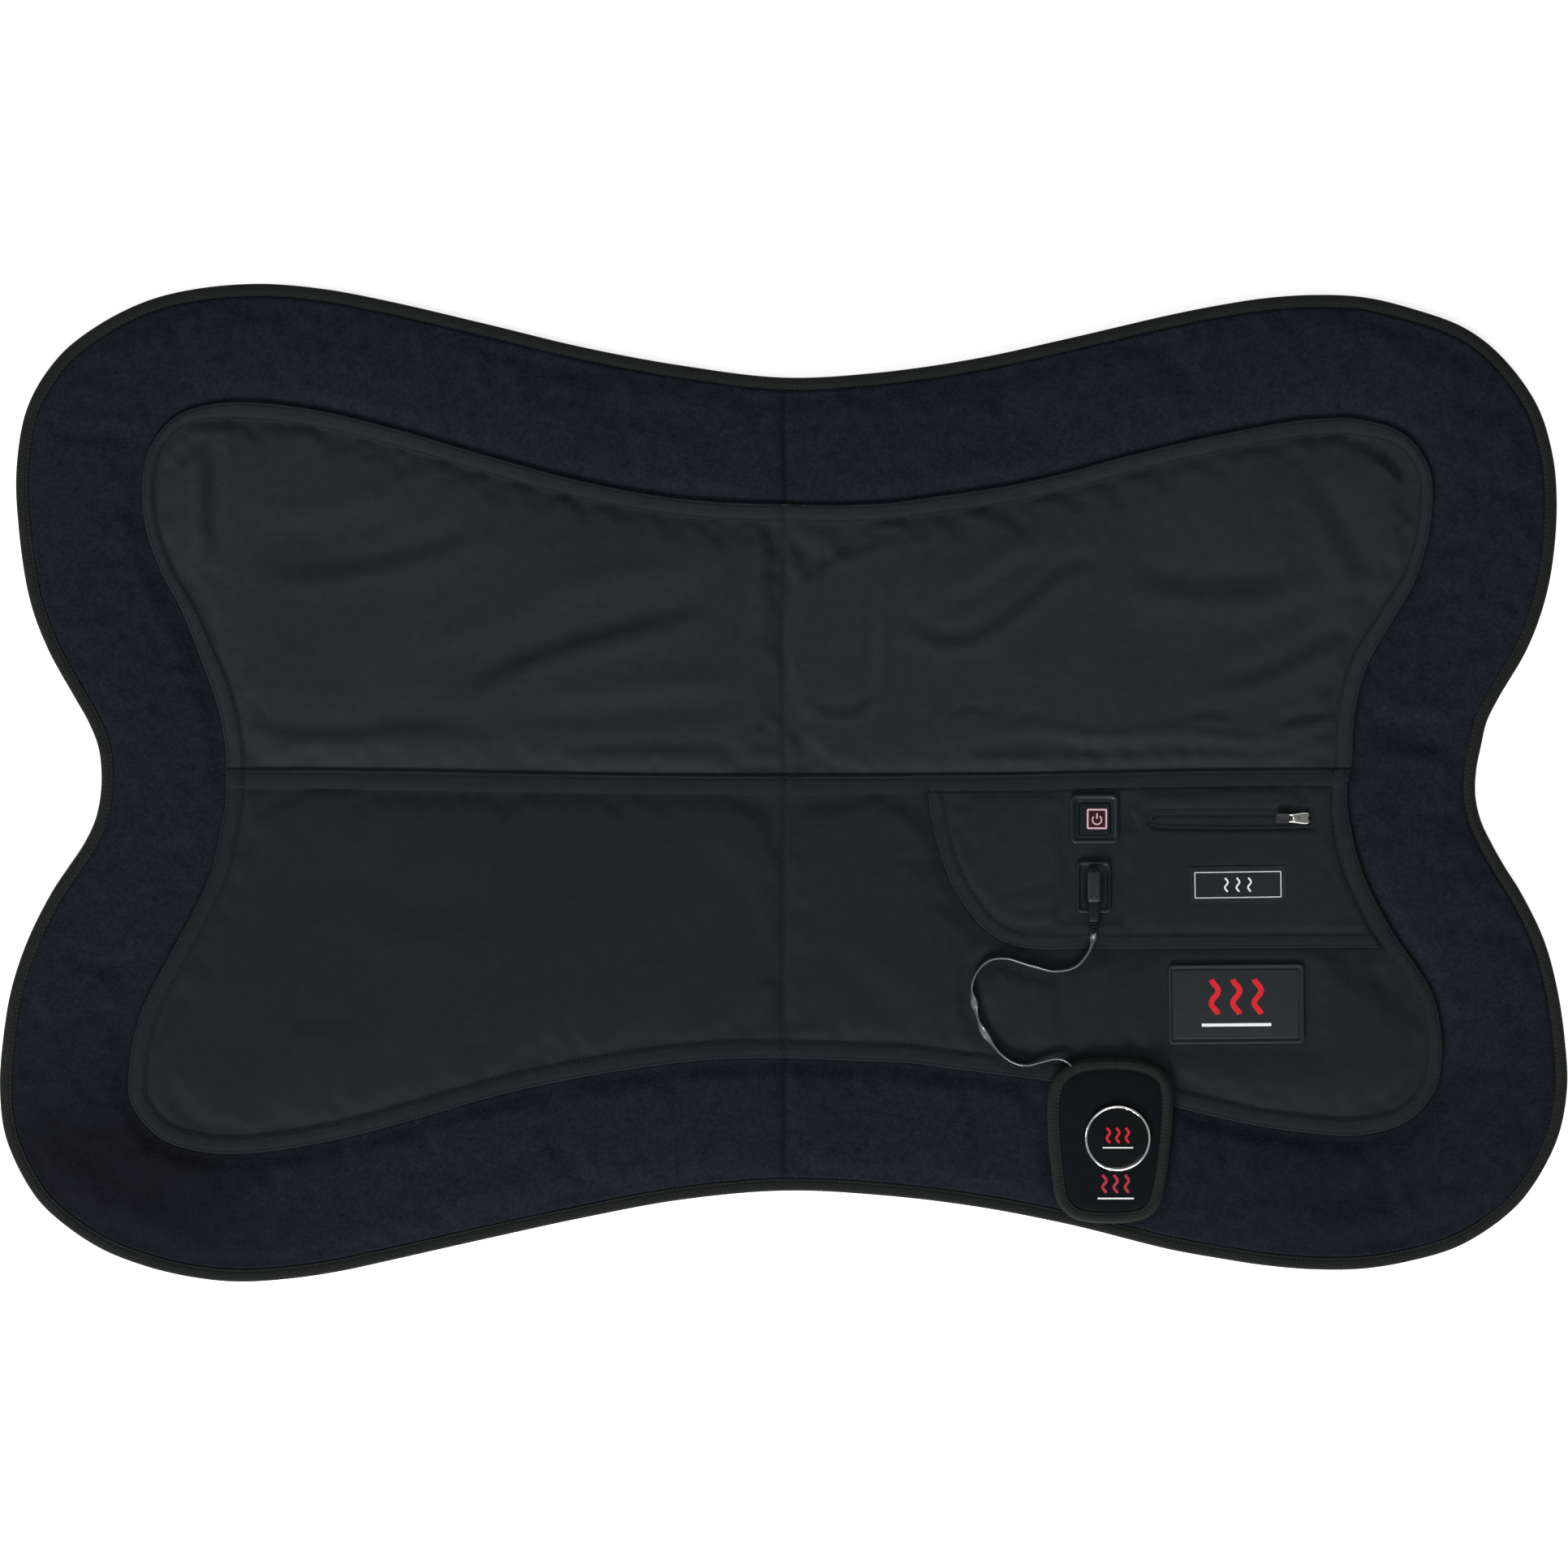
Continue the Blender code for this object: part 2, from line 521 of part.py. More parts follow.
# ----------------------------------------------------------------------------- wire ribbons
for side, word in ((1, "right"), (-1, "left")):
    xs = sorted((side * 158.0, side * 162.0))
    ribbon = box("harness_" + word, xs[0], xs[1], -142, 142, 3.4, 4.6, WIRE)
    arms = []
    for tag, y, xa, xb in (("fold", 12, 0.4, 159), ("upper_in", 75, 143, 159), ("lower_in", -75, 143, 159),
                           ("upper_out", 140, 161, 198), ("lower_out", -140, 161, 198)):
        ax = sorted((side * xa, side * xb))
        arms.append(box("arm_%s_%s" % (tag, word), ax[0], ax[1], y - 2, y + 2, 3.3, 4.7, None, True))
    if side > 0:
        arms.append(box("arm_box", 161, 169.2, -22, -18, 3.3, 4.7, None, True))
    join(ribbon, *arms)

# ----------------------------------------------------------------------------- control box
cb = (169.5, 206.7, -84.0, -7.0)
tray = box("control_box", cb[0], cb[1], cb[2], cb[3], 1.4, 6.2, CASE)
cut(tray, box("control_box_hollow", cb[0] + 1.0, cb[1] - 1.0, cb[2] + 1.0, cb[3] - 1.0, 2.2, 9.0, None, True))
lid = box("control_lid", cb[0], cb[1], cb[2], cb[3], 6.5, 7.2, CASE)
cut(lid, box("lid_key_hole", BUTTON_C[0] - 4, BUTTON_C[0] + 4, BUTTON_C[1] - 4, BUTTON_C[1] + 4, 5, 9, None, True),
    box("lid_port_hole", SOCKET_C[0] - 2.4, SOCKET_C[0] + 2.4, SOCKET_C[1] - 5.6, SOCKET_C[1] + 5.6, 5, 9, None, True))
box("main_board", cb[0] + 1.3, cb[1] - 1.3, cb[2] + 1.3, cb[3] - 1.3, 2.5, 3.5, BOARD)
switch = box("tact_switch", BUTTON_C[0] - 3, BUTTON_C[0] + 3, BUTTON_C[1] - 3, BUTTON_C[1] + 3, 3.8, 4.8, CASE)
join(switch, rod("tact_plunger", (BUTTON_C[0], BUTTON_C[1], 4.95), 1.6, 0.9, "Z", 12, None, True))

# ----------------------------------------------------------------------------- switch
bezel = sheet("button_bezel", [rect(BUTTON_C[0], BUTTON_C[1], 29.0, 29.5, 3.0, 3)], 8.9, 10.8, SOFT_BLACK)
cut(bezel,
    sheet("bezel_floor", [rect(BUTTON_C[0], BUTTON_C[1], 22.8, 23.8, 1.6, 2)], 9.6, 12.0, None, True),
    sheet("bezel_hole", [rect(BUTTON_C[0], BUTTON_C[1], 19.0, 19.8, 1.3, 2)], 8.0, 12.0, None, True))
bezel_edge = bezel.modifiers.new("rim", "BEVEL")
bezel_edge.width = 0.0003
bezel_edge.segments = 1
bezel_edge.limit_method = "ANGLE"
bezel_edge.angle_limit = math.radians(60)
key = sheet("power_button", [rect(BUTTON_C[0], BUTTON_C[1], 18.2, 19.0, 1.0, 2)], 8.7, 10.9, SOFT_BLACK)
join(key, box("key_stem", BUTTON_C[0] - 2.4, BUTTON_C[0] + 2.4, BUTTON_C[1] - 2.4, BUTTON_C[1] + 2.4, 6.7, 9.0, None, True))
cut(key, sheet("key_groove", [rect(BUTTON_C[0], BUTTON_C[1], 13.2, 13.2), rect(BUTTON_C[0], BUTTON_C[1], 10.0, 10.0)],
               9.9, 12.0, None, True))
sheet("button_light_guide", [rect(BUTTON_C[0], BUTTON_C[1], 12.6, 12.6), rect(BUTTON_C[0], BUTTON_C[1], 10.6, 10.6)],
      10.2, 11.0, LIGHT)

# ----------------------------------------------------------------------------- socket and plug
frame = sheet("socket_frame", [rect(SOCKET_C[0], SOCKET_C[1], 20.4, 31.0, 2.6, 3)], 8.9, 10.6, SOFT_BLACK)
cut(frame,
    sheet("frame_floor", [rect(SOCKET_C[0], SOCKET_C[1] - 1.0, 15.4, 25.0, 1.4, 2)], 9.4, 12.0, None, True),
    sheet("frame_mouth", [rect(SOCKET_C[0], SOCKET_C[1], 4.8, 11.2)], 8.0, 12.0, None, True))
port = box("usb_port", SOCKET_C[0] - 2.0, SOCKET_C[0] + 2.0, SOCKET_C[1] - 5.0, SOCKET_C[1] + 5.0, 3.8, 9.4, STEEL)
cut(port, box("port_slot", SOCKET_C[0] - 1.5, SOCKET_C[0] + 1.5, SOCKET_C[1] - 4.5, SOCKET_C[1] + 4.5, 4.4, 12.0, None, True))
box("plug_shell", SOCKET_C[0] - 1.2, SOCKET_C[0] + 1.2, SOCKET_C[1] - 4.15, SOCKET_C[1] + 4.15, 4.9, 9.5, STEEL)
PX = 187.7
body = sheet("plug_body", [rect(PX, -62.6, 8.4, 18.6, 1.6, 3)], 9.8, 15.6, SOFT_BLACK)
join(body,
     box("plug_neck", PX - 3.4, PX + 3.4, -84.2, -70.0, 10.9, 14.6, None, True),
     box("plug_tail", PX - 1.9, PX + 1.9, -90.0, -84.0, 10.9, 13.3, None, True),
     box("plug_rib_1", PX - 2.7, PX + 2.7, -86.2, -85.2, 10.4, 13.8, None, True),
     box("plug_rib_2", PX - 2.5, PX + 2.5, -88.2, -87.2, 10.5, 13.7, None, True))

# ----------------------------------------------------------------------------- flat cable
section = bpy.data.curves.new("cable_section", "CURVE")
section.dimensions = "2D"
section.render_resolution_u = 0
spline = section.splines.new("POLY")
outline = [(-0.7, -1.5), (-0.35, -1.9), (0.35, -1.9), (0.7, -1.5), (0.7, 1.5), (0.35, 1.9), (-0.35, 1.9), (-0.7, 1.5)]
spline.points.add(len(outline) - 1)
for point, (u, v) in zip(spline.points, outline):
    point.co = (u / 1000.0, v / 1000.0, 0.0, 1.0)
spline.use_cyclic_u = True
section_obj = bpy.data.objects.new("cable_section", section)
place(section_obj, None, True)
route = centripetal(CABLE, False, 3.6)
data = bpy.data.curves.new("flat_cable", "CURVE")
data.dimensions = "3D"
data.twist_mode = "Z_UP"
data.render_resolution_u = 0
data.bevel_mode = "OBJECT"
data.bevel_object = section_obj
data.use_fill_caps = True
spline = data.splines.new("POLY")
spline.points.add(len(route) - 1)
for point, p in zip(spline.points, route):
    point.co = (p.x / 1000.0, p.y / 1000.0, p.z / 1000.0, 1.0)
as_mesh(place(bpy.data.objects.new("flat_cable", data), CABLE_MAT))

# ----------------------------------------------------------------------------- battery
flat("battery_pack", [rect(260.6, -60.3, 92.0, 59.0, 4.0, 2)], 1.4, 6.9, CELL)
box("battery_lead", 207.0, 214.2, -51.0, -47.0, 3.4, 4.6, WIRE)

# ----------------------------------------------------------------------------- zip
ZY = sum(ZIP_Y) / 2
box("zip_tape_upper", ZIP_X[0] + 0.3, ZIP_X[1] - 0.3, ZY + 1.4, ZIP_Y[1] - 0.3, 7.9, 8.5, WOVEN)
box("zip_tape_lower", ZIP_X[0] + 0.3, ZIP_X[1] - 0.3, ZIP_Y[0] + 0.3, ZY - 1.4, 7.9, 8.5, WOVEN)
coil = box("zip_coil", ZIP_X[0] + 0.6, ZIP_X[1] - 0.6, ZY - 0.5, ZY + 0.5, 7.9, 8.9, CASE)
teeth = []
for i in range(31):
    x = ZIP_X[0] + 2.5 + i * 3.0
    teeth.append(box("zip_tooth_%d" % i, x - 0.8, x + 0.8, ZY - 1.05, ZY + 1.05, 8.1, 9.1, None, True))
join(coil, *teeth)

SX0, SX1 = 306.4, 318.4
slider = box("zip_slider", SX0, SX1, ZY - 3.6, ZY + 3.6, 9.5, 10.4, CHROME)
join(slider,
     box("slider_wing_a", SX0 + 0.5, SX1 - 0.5, ZY - 3.4, ZY - 2.4, 8.9, 9.8, None, True),
     box("slider_wing_b", SX0 + 0.5, SX1 - 0.5, ZY + 2.4, ZY + 3.4, 8.9, 9.8, None, True),
     box("slider_bridge", SX0 + 1.6, SX0 + 5.4, ZY - 0.9, ZY + 0.9, 10.1, 12.9, None, True))
PULL_AXIS = (SX0 + 3.5, ZY, 11.7)
cut(slider, rod("bridge_bore", PULL_AXIS, 0.85, 6.0, "Y", 12, None, True))
puller = rod("zip_puller", PULL_AXIS, 0.5, 5.0, "Y", 12, CHROME)
join(puller,
     box("puller_arm_a", PULL_AXIS[0] - 6.4, PULL_AXIS[0] + 0.5, ZY + 1.4, ZY + 2.6, 11.2, 12.2, None, True),
     box("puller_arm_b", PULL_AXIS[0] - 6.4, PULL_AXIS[0] + 0.5, ZY - 2.6, ZY - 1.4, 11.2, 12.2, None, True),
     box("puller_tab", SX0 - 8.4, SX0 - 0.5, ZY - 3.1, ZY + 3.1, 10.6, 12.3, None, True))

# ----------------------------------------------------------------------------- label and patch
flat("woven_label", [rect(275.0, -61.7, 59.6, 22.6)], 8.9, 9.3, LABEL)
patch = sheet("rubber_patch", [rect(274.0, -134.0, 82.2, 48.3, 2.0, 2)], 7.9, 10.0, PATCH)
cut(patch, sheet("patch_floor", [rect(274.0, -134.0, 76.4, 42.4, 1.0, 2)], 9.2, 12.0, None, True))
slab = sheet("patch_slab", [rect(274.0, -134.0, 74.8, 40.8, 0.6, 2)], 8.6, 9.6, None, True)
join(patch, slab)

# ----------------------------------------------------------------------------- hand pad
hand = anticlockwise(centripetal(HAND_EDGE, True, 7.0))
hand_in = inset(hand, 6.6 + GAP)
hand_core = inset(hand, BIND_T + GAP)
HC = (197.7, -208.0)
hand_window = rect(HC[0], HC[1], 44.0, 54.0, 4.0, 2)
flat("hand_pad_lining", [hand_in, rect(HC[0], HC[1], 44.6, 54.6, 4.3, 2)], 8.0, 8.6, LINING)
flat("hand_pad_window", [hand_window], 8.05, 8.55, CLEAR)
hand_foam = sheet("hand_pad_foam", [hand_core], 8.9, 14.6, FOAM)
cut(hand_foam, box("hand_pit", HC[0] - 22, HC[0] + 22, HC[1] - 27, HC[1] + 27, 8.0, 11.0, None, True))
board = box("hand_pad_led_board", HC[0] - 21, HC[0] + 21, HC[1] - 26, HC[1] + 26, 9.7, 10.7, BOARD)
leds = []
for i in range(4):
    for j in range(5):
        x, y = HC[0] + (i - 1.5) * 10, HC[1] + (j - 2) * 10
        leds.append(box("hand_led_%d_%d" % (i, j), x - 1.75, x + 1.75, y - 1.4, y + 1.4, 8.9, 10.0, None, True))
join(board, *leds)
flat("hand_pad_face", [hand_in], 14.9, 15.6, WOVEN)

hand_profile = bpy.data.curves.new("hand_profile", "CURVE")
hand_profile.dimensions = "2D"
hand_profile.render_resolution_u = 0
shape = [(0, 8.0), (6.6, 8.0), (6.6, 8.6), (BIND_T, 8.6), (BIND_T, 14.9), (6.6, 14.9), (6.6, 15.6), (0, 15.6)]
spline = hand_profile.splines.new("POLY")
spline.points.add(len(shape) - 1)
for point, (u, v) in zip(spline.points, shape):
    point.co = (u / 1000.0, v / 1000.0, 0.0, 1.0)
spline.use_cyclic_u = True
hand_profile_obj = bpy.data.objects.new("hand_profile", hand_profile)
place(hand_profile_obj, None, True)
data = bpy.data.curves.new("hand_pad_binding", "CURVE")
data.dimensions = "2D"
data.render_resolution_u = 0
data.bevel_mode = "OBJECT"
data.bevel_object = hand_profile_obj
spline = data.splines.new("POLY")
spline.points.add(len(hand) - 1)
for point, xy in zip(spline.points, hand):
    point.co = (xy.x / 1000.0, xy.y / 1000.0, 0.0, 1.0)
spline.use_cyclic_u = True
ring = bpy.data.objects.new("hand_pad_binding", data)
place(ring, TAPE)
as_mesh(ring)

# puck: a shallow cap with a bright ring round its foot
turned("puck_ring", PUCK_C, [(PUCK_R - 1.3, 18.3), (PUCK_R - 0.5, 18.3), (PUCK_R, 17.7), (PUCK_R, 15.9), (PUCK_R - 1.3, 15.9)], 48, CHROME)
turned("puck_cover", PUCK_C, [(0, 19.2), (11.0, 19.0), (16.0, 18.6), (PUCK_R - 1.6, 18.0), (PUCK_R - 1.6, 15.9), (0, 15.9)], 48, GLOSS)

bpy.context.view_layer.update()
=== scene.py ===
import math

import bmesh
import bpy
import numpy as np
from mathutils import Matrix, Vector, kdtree
from mathutils.geometry import delaunay_2d_cdt


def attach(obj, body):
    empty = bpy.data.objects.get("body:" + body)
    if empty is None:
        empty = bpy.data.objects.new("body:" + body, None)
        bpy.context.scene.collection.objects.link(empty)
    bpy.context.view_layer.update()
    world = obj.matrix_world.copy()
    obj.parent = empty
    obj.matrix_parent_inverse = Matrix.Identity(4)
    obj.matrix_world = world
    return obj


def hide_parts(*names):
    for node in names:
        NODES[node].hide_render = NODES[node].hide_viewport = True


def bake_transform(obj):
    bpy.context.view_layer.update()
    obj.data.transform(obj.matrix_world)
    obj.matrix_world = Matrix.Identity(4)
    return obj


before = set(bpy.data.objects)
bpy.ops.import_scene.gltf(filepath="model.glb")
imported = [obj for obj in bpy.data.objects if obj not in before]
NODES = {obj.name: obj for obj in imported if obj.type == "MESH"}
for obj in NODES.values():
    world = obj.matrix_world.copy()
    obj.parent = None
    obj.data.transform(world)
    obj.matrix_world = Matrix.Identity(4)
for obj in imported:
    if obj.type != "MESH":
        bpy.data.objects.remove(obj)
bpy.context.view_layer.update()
MM = 0.001
RIGHT, LEFT = "right_half", "left_half"

# ----------------------------------------------------------------------------- outlines, mm
EDGE = [
    (0, 245.3), (-61.7, 252.6), (-120.8, 263.5), (-179.8, 277.7), (-238.9, 291.5), (-278.2, 298.9),
    (-317.6, 302.1), (-356.9, 298.9), (-386.4, 291.5), (-415.9, 276.7), (-439.1, 258.1),
    (-457.8, 228.5), (-464.8, 192.0), (-463.7, 154.7), (-456.8, 110.4), (-446.0, 80.9),
    (-429.7, 51.4), (-421.4, 36.7), (-415.5, 21.9), (-413.5, 7.1), (-414.0, -7.6), (-417.0, -22.4),
    (-423.8, -37.1), (-433.7, -51.9), (-443.5, -66.7), (-458.3, -96.2), (-468.1, -125.7),
    (-473.0, -155.2), (-475.0, -184.7), (-471.6, -214.3), (-458.3, -243.8), (-445.5, -260.0),
    (-415.9, -281.6), (-386.4, -293.5), (-356.9, -300.3), (-329.9, -302.8), (-297.9, -300.8),
    (-268.4, -296.4), (-238.9, -290.0), (-179.8, -276.7), (-120.8, -263.9), (-61.7, -253.1),
    (0, -247.7), (56.3, -250.2), (115.4, -257.1), (174.4, -268.4), (233.4, -283.1), (263.0, -288.5),
    (292.5, -293.0), (322.0, -295.4), (351.5, -294.9), (381.0, -290.0), (410.5, -280.7),
    (440.0, -261.0), (454.8, -243.8), (469.6, -214.7), (475.0, -184.7), (473.5, -155.2),
    (469.1, -125.7), (461.2, -96.2), (446.9, -66.7), (437.6, -51.9), (429.2, -37.1), (422.4, -22.4),
    (419.4, -7.6), (419.9, 7.1), (422.8, 21.9), (426.3, 36.7), (433.7, 51.4), (450.9, 80.9),
    (461.7, 110.4), (467.1, 140.0), (468.7, 172.0), (466.1, 199.0), (456.8, 228.5), (435.2, 258.1),
    (413.0, 275.3), (381.0, 287.1), (351.5, 294.0), (322.0, 295.4), (292.5, 293.5), (263.0, 289.0),
    (233.4, 283.1), (174.4, 269.4), (115.4, 256.6), (56.3, 248.2),
]
COVER_TOP = [
    (-337.5, 2.0), (-338.0, 21.0), (-343.0, 47.5), (-354.0, 78.0), (-365.0, 105.5), (-376.5, 127.0),
    (-386.5, 155.5), (-388.5, 180.5), (-384.0, 203.0), (-369.0, 221.5), (-347.0, 229.5),
    (-319.5, 230.5), (-278.0, 225.0), (-229.5, 213.0), (-180.0, 198.5), (-130.5, 185.0),
    (-85.0, 175.5), (-42.0, 170.5), (0, 169.0), (36.5, 168.5), (66.0, 170.0), (95.5, 174.0),
    (135.0, 180.0), (169.5, 187.5), (204.0, 197.0), (259.0, 210.0), (307.0, 219.0), (328.5, 221.0),
    (349.0, 220.5), (376.5, 211.0), (391.5, 190.0), (392.5, 161.0), (383.5, 125.0), (369.5, 99.5),
    (353.0, 70.0), (346.0, 41.0), (344.5, 14.0),
]
COVER_BOTTOM = [
    (341.5, -5.0), (344.0, -28.0), (352.0, -57.0), (370.0, -91.5), (384.5, -112.5), (393.5, -128.5),
    (399.0, -155.5), (395.5, -184.0), (378.5, -204.5), (348.5, -213.5), (318.0, -212.0),
    (283.0, -207.0), (235.5, -196.0), (199.0, -187.0), (164.5, -181.0), (129.0, -176.5),
    (101.5, -173.0), (74.0, -169.5), (46.5, -168.5), (0, -166.7), (-32.0, -167.0), (-59.5, -169.0),
    (-115.0, -177.0), (-170.0, -188.5), (-222.5, -203.5), (-264.0, -214.5), (-303.0, -222.0),
    (-330.5, -224.7), (-355.0, -223.0), (-378.5, -214.5), (-395.5, -193.0), (-396.0, -168.5),
    (-388.5, -136.5), (-372.0, -104.0), (-357.0, -76.0), (-346.5, -52.5), (-341.0, -28.0),
    (-338.0, -10.0),
]
POCKET_FLAP = [
    (87.3, -4.2), (89.3, -19.4), (93.7, -39.1), (100.6, -58.3), (110.9, -76.0), (123.2, -89.8),
    (137.5, -97.7), (153.3, -100.6), (171.0, -100.6),
]
POCKET_HEM = [
    (361.5, -99.8), (352.0, -82.9), (344.6, -67.6), (337.7, -51.4), (333.8, -36.2), (332.3, -23.4),
    (332.0, -10.1), (332.4, -4.2),
]
HAND_EDGE = [
    (201.0, -166.5), (186.2, -167.0), (176.4, -169.0), (168.0, -173.9), (162.6, -180.8),
    (160.1, -190.1), (159.7, -199.5), (160.1, -214.3), (162.1, -233.9), (164.6, -251.1),
    (168.0, -257.5), (174.4, -263.0), (184.2, -265.7), (197.0, -266.4), (209.8, -265.7),
    (219.7, -263.0), (225.6, -257.5), (229.0, -249.2), (232.0, -233.9), (233.9, -216.7),
    (235.4, -199.5), (234.9, -186.2), (232.5, -178.3), (226.1, -171.9), (216.2, -168.0),
]
CABLE = [
    (187.7, -90.6, 12.0), (186.7, -95.7, 11.8), (184.6, -102.0, 11.3), (176.9, -110.9, 10.6),
    (164.6, -113.9, 10.4), (149.8, -110.9, 10.4), (135.0, -106.5, 10.4), (124.2, -107.5, 10.4),
    (117.3, -114.4, 10.4), (113.9, -124.2, 10.4), (115.4, -133.6, 10.4), (118.8, -146.4, 10.4),
    (125.2, -156.7, 10.4), (132.1, -164.9, 10.4), (140.0, -169.8, 10.5), (147.3, -171.0, 10.8),
    (155.7, -168.9, 11.4), (163.6, -166.9, 12.0), (168.6, -167.2, 12.3), (171.4, -168.6, 12.4),
]
STRIPS = [
    ("upper_right_inner", (95, 75), (110, 28)), ("upper_right_outer", (250, 140), (120, 28)),
    ("lower_right_inner", (95, -75), (110, 28)), ("lower_right_outer", (250, -140), (120, 28)),
    ("upper_left_inner", (-95, 75), (110, 28)), ("upper_left_outer", (-250, 140), (120, 28)),
    ("lower_left_inner", (-95, -75), (110, 28)), ("lower_left_outer", (-250, -140), (120, 28)),
]
WELL = (168.6, 308.4, -91.0, -6.6)
BUTTON_C = (188.3, -21.9)
SOCKET_C = (187.7, -63.2)
ZIP_X, ZIP_Y = (224.0, 320.0), (-25.2, -17.8)
ZY = sum(ZIP_Y) / 2
PUCK_C, PUCK_R = (201.7, -214.7), 19.9
HC = (197.7, -208.0)
BIND_W, HEM_LAP = 7.4, 16.0

# Folds of the cloth: the line of each soft fold's far slope, its half width and its depth. A negative
# depth turns the slope towards the light. The last figure is 0 for the upper cover, 1 for the lower
# cover, 2 for the pocket panel, 3 for the border.
FOLDS = [
    ([(-348, 211), (-349, 179), (-348, 133)], 6.5, 3.4, 0),
    ([(-333, 217), (-336, 206), (-336, 199)], 4.0, 1.6, 0),
    ([(-322, 124), (-293, 126), (-263, 130), (-229, 136), (-199, 146), (-170, 161)], 9.5, 2.3, 0),
    ([(-327, 152), (-268, 160), (-219, 174)], 12.0, -1.9, 0),
    ([(-335, 42), (-313, 32), (-268, 29), (-219, 34), (-170, 29)], 10.0, 2.4, 0),
    ([(-209, 39), (-185, 59), (-155, 74), (-121, 86), (-81, 96), (-37, 108)], 9.5, 3.6, 0),
    ([(-239, 71), (-199, 81), (-160, 96), (-121, 113), (-67, 123), (-32, 135)], 11.0, -2.0, 0),
    ([(-170, 46), (-111, 49), (-52, 54), (-13, 51)], 10.5, -2.4, 0),
    ([(-150, 17), (-101, 19), (-32, 19), (-3, 17)], 6.0, 1.9, 0),
    ([(-96, 179), (-72, 160), (-57, 140)], 9.0, 1.2, 0),
    ([(-8, 162), (-9, 120), (-9, 86)], 6.0, 2.2, 0),
    ([(23, 160), (23, 120), (17, 81)], 3.0, 0.8, 0),
    ([(7, 61), (17, 47), (34, 42), (49, 46), (56, 61), (57, 110), (66, 135), (71, 160)], 4.2, 1.5, 0),
    ([(27, 135), (47, 140), (71, 152)], 5.0, 1.4, 0),
    ([(86, 160), (84, 135)], 3.5, 1.1, 0),
    ([(91, 106), (116, 120), (140, 135), (165, 147)], 8.0, -2.0, 0),
    ([(66, 101), (96, 86), (121, 91), (145, 108), (170, 128), (199, 133)], 7.0, 2.6, 0),
    ([(204, 125), (239, 118), (278, 118), (308, 125)], 11.0, 2.4, 0),
    ([(313, 189), (332, 155), (352, 120), (362, 110)], 10.0, 1.9, 0),
    ([(263, 93), (298, 106), (332, 120)], 10.0, -1.8, 0),
    ([(254, 56), (293, 66), (322, 81), (357, 96)], 8.0, 2.4, 0),
    ([(293, 32), (313, 37), (337, 42), (347, 47)], 4.6, 2.4, 0),
    ([(239, 37), (258, 41), (273, 38)], 4.2, 1.5, 0),
    ([(96, 37), (113, 44), (128, 39)], 3.6, 1.5, 0),
    ([(140, 37), (160, 42)], 3.6, 1.0, 0),
    ([(101, 24), (155, 29), (189, 24), (239, 27), (283, 22), (332, 29)], 5.0, -2.2, 0),
    ([(66, 15), (140, 17), (214, 17), (332, 19)], 4.6, 1.9, 0),
    ([(357, 199), (369, 189), (380, 179)], 3.6, 2.2, 0),
    ([(362, 205), (379, 193), (385, 179)], 3.2, -1.5, 0),
    ([(81, -35), (66, -42), (61, -57)], 7.0, 1.0, 1),
    ([(-303, -150), (-259, -148)], 10.0, 1.2, 1),
    ([(332, -111), (362, -131), (381, -155)], 13.0, 1.4, 1),
    ([(-60, -30), (-20, -60), (-8, -110)], 14.0, -1.2, 1),
    ([(-300, -60), (-220, -85), (-140, -80)], 18.0, 1.3, 1),
    ([(20, -90), (60, -120), (90, -150)], 14.0, -1.1, 1),
    ([(250, -170), (300, -176), (350, -168)], 9.0, 1.2, 1),
    ([(116, -72), (135, -62), (165, -54), (174, -50)], 6.0, -1.9, 2),
    ([(140, -82), (165, -77)], 5.0, 1.4, 2),
    ([(106, -47), (130, -40), (155, -27)], 6.5, 1.4, 2),
    ([(206, -16), (216, -26), (214, -34)], 5.0, -1.3, 2),
    ([(234, -37), (244, -48)], 5.0, 1.3, 2),
    ([(263, -5.5), (283, -12), (312, -10)], 4.0, -1.5, 2),
    ([(263, -12.5), (293, -15.6)], 3.2, 1.3, 2),
    ([(263, -79), (293, -81), (313, -76)], 5.0, 1.5, 2),
    ([(318, -30), (327, -55), (342, -80)], 5.5, 1.2, 2),
    ([(355, 39), (385, 39), (410, 37)], 9.0, -2.2, 3),
    ([(355, 22), (410, 20)], 8.0, 1.6, 3),
    ([(-455, 95), (-430, 88), (-400, 95)], 10.0, -1.8, 3),
    ([(-440, -215), (-400, -250), (-350, -262)], 14.0, 1.4, 3),
    ([(-250, -250), (-180, -240), (-100, -215)], 14.0, 1.0, 3),
    ([(-330, 265), (-260, 262), (-190, 240)], 13.0, 1.2, 3),
    ([(190, 230), (260, 250), (330, 262)], 13.0, 1.0, 3),
    ([(300, -250), (350, -258), (410, -240)], 12.0, 1.2, 3),
    ([(60, 200), (120, 215), (180, 232)], 12.0, -0.9, 3),
    ([(-120, 225), (-70, 212), (-20, 205)], 12.0, 0.9, 3),
    ([(430, -120), (445, -165), (440, -210)], 11.0, 1.2, 3),
    ([(-445, -110), (-450, -160), (-440, -205)], 11.0, -1.2, 3),
]


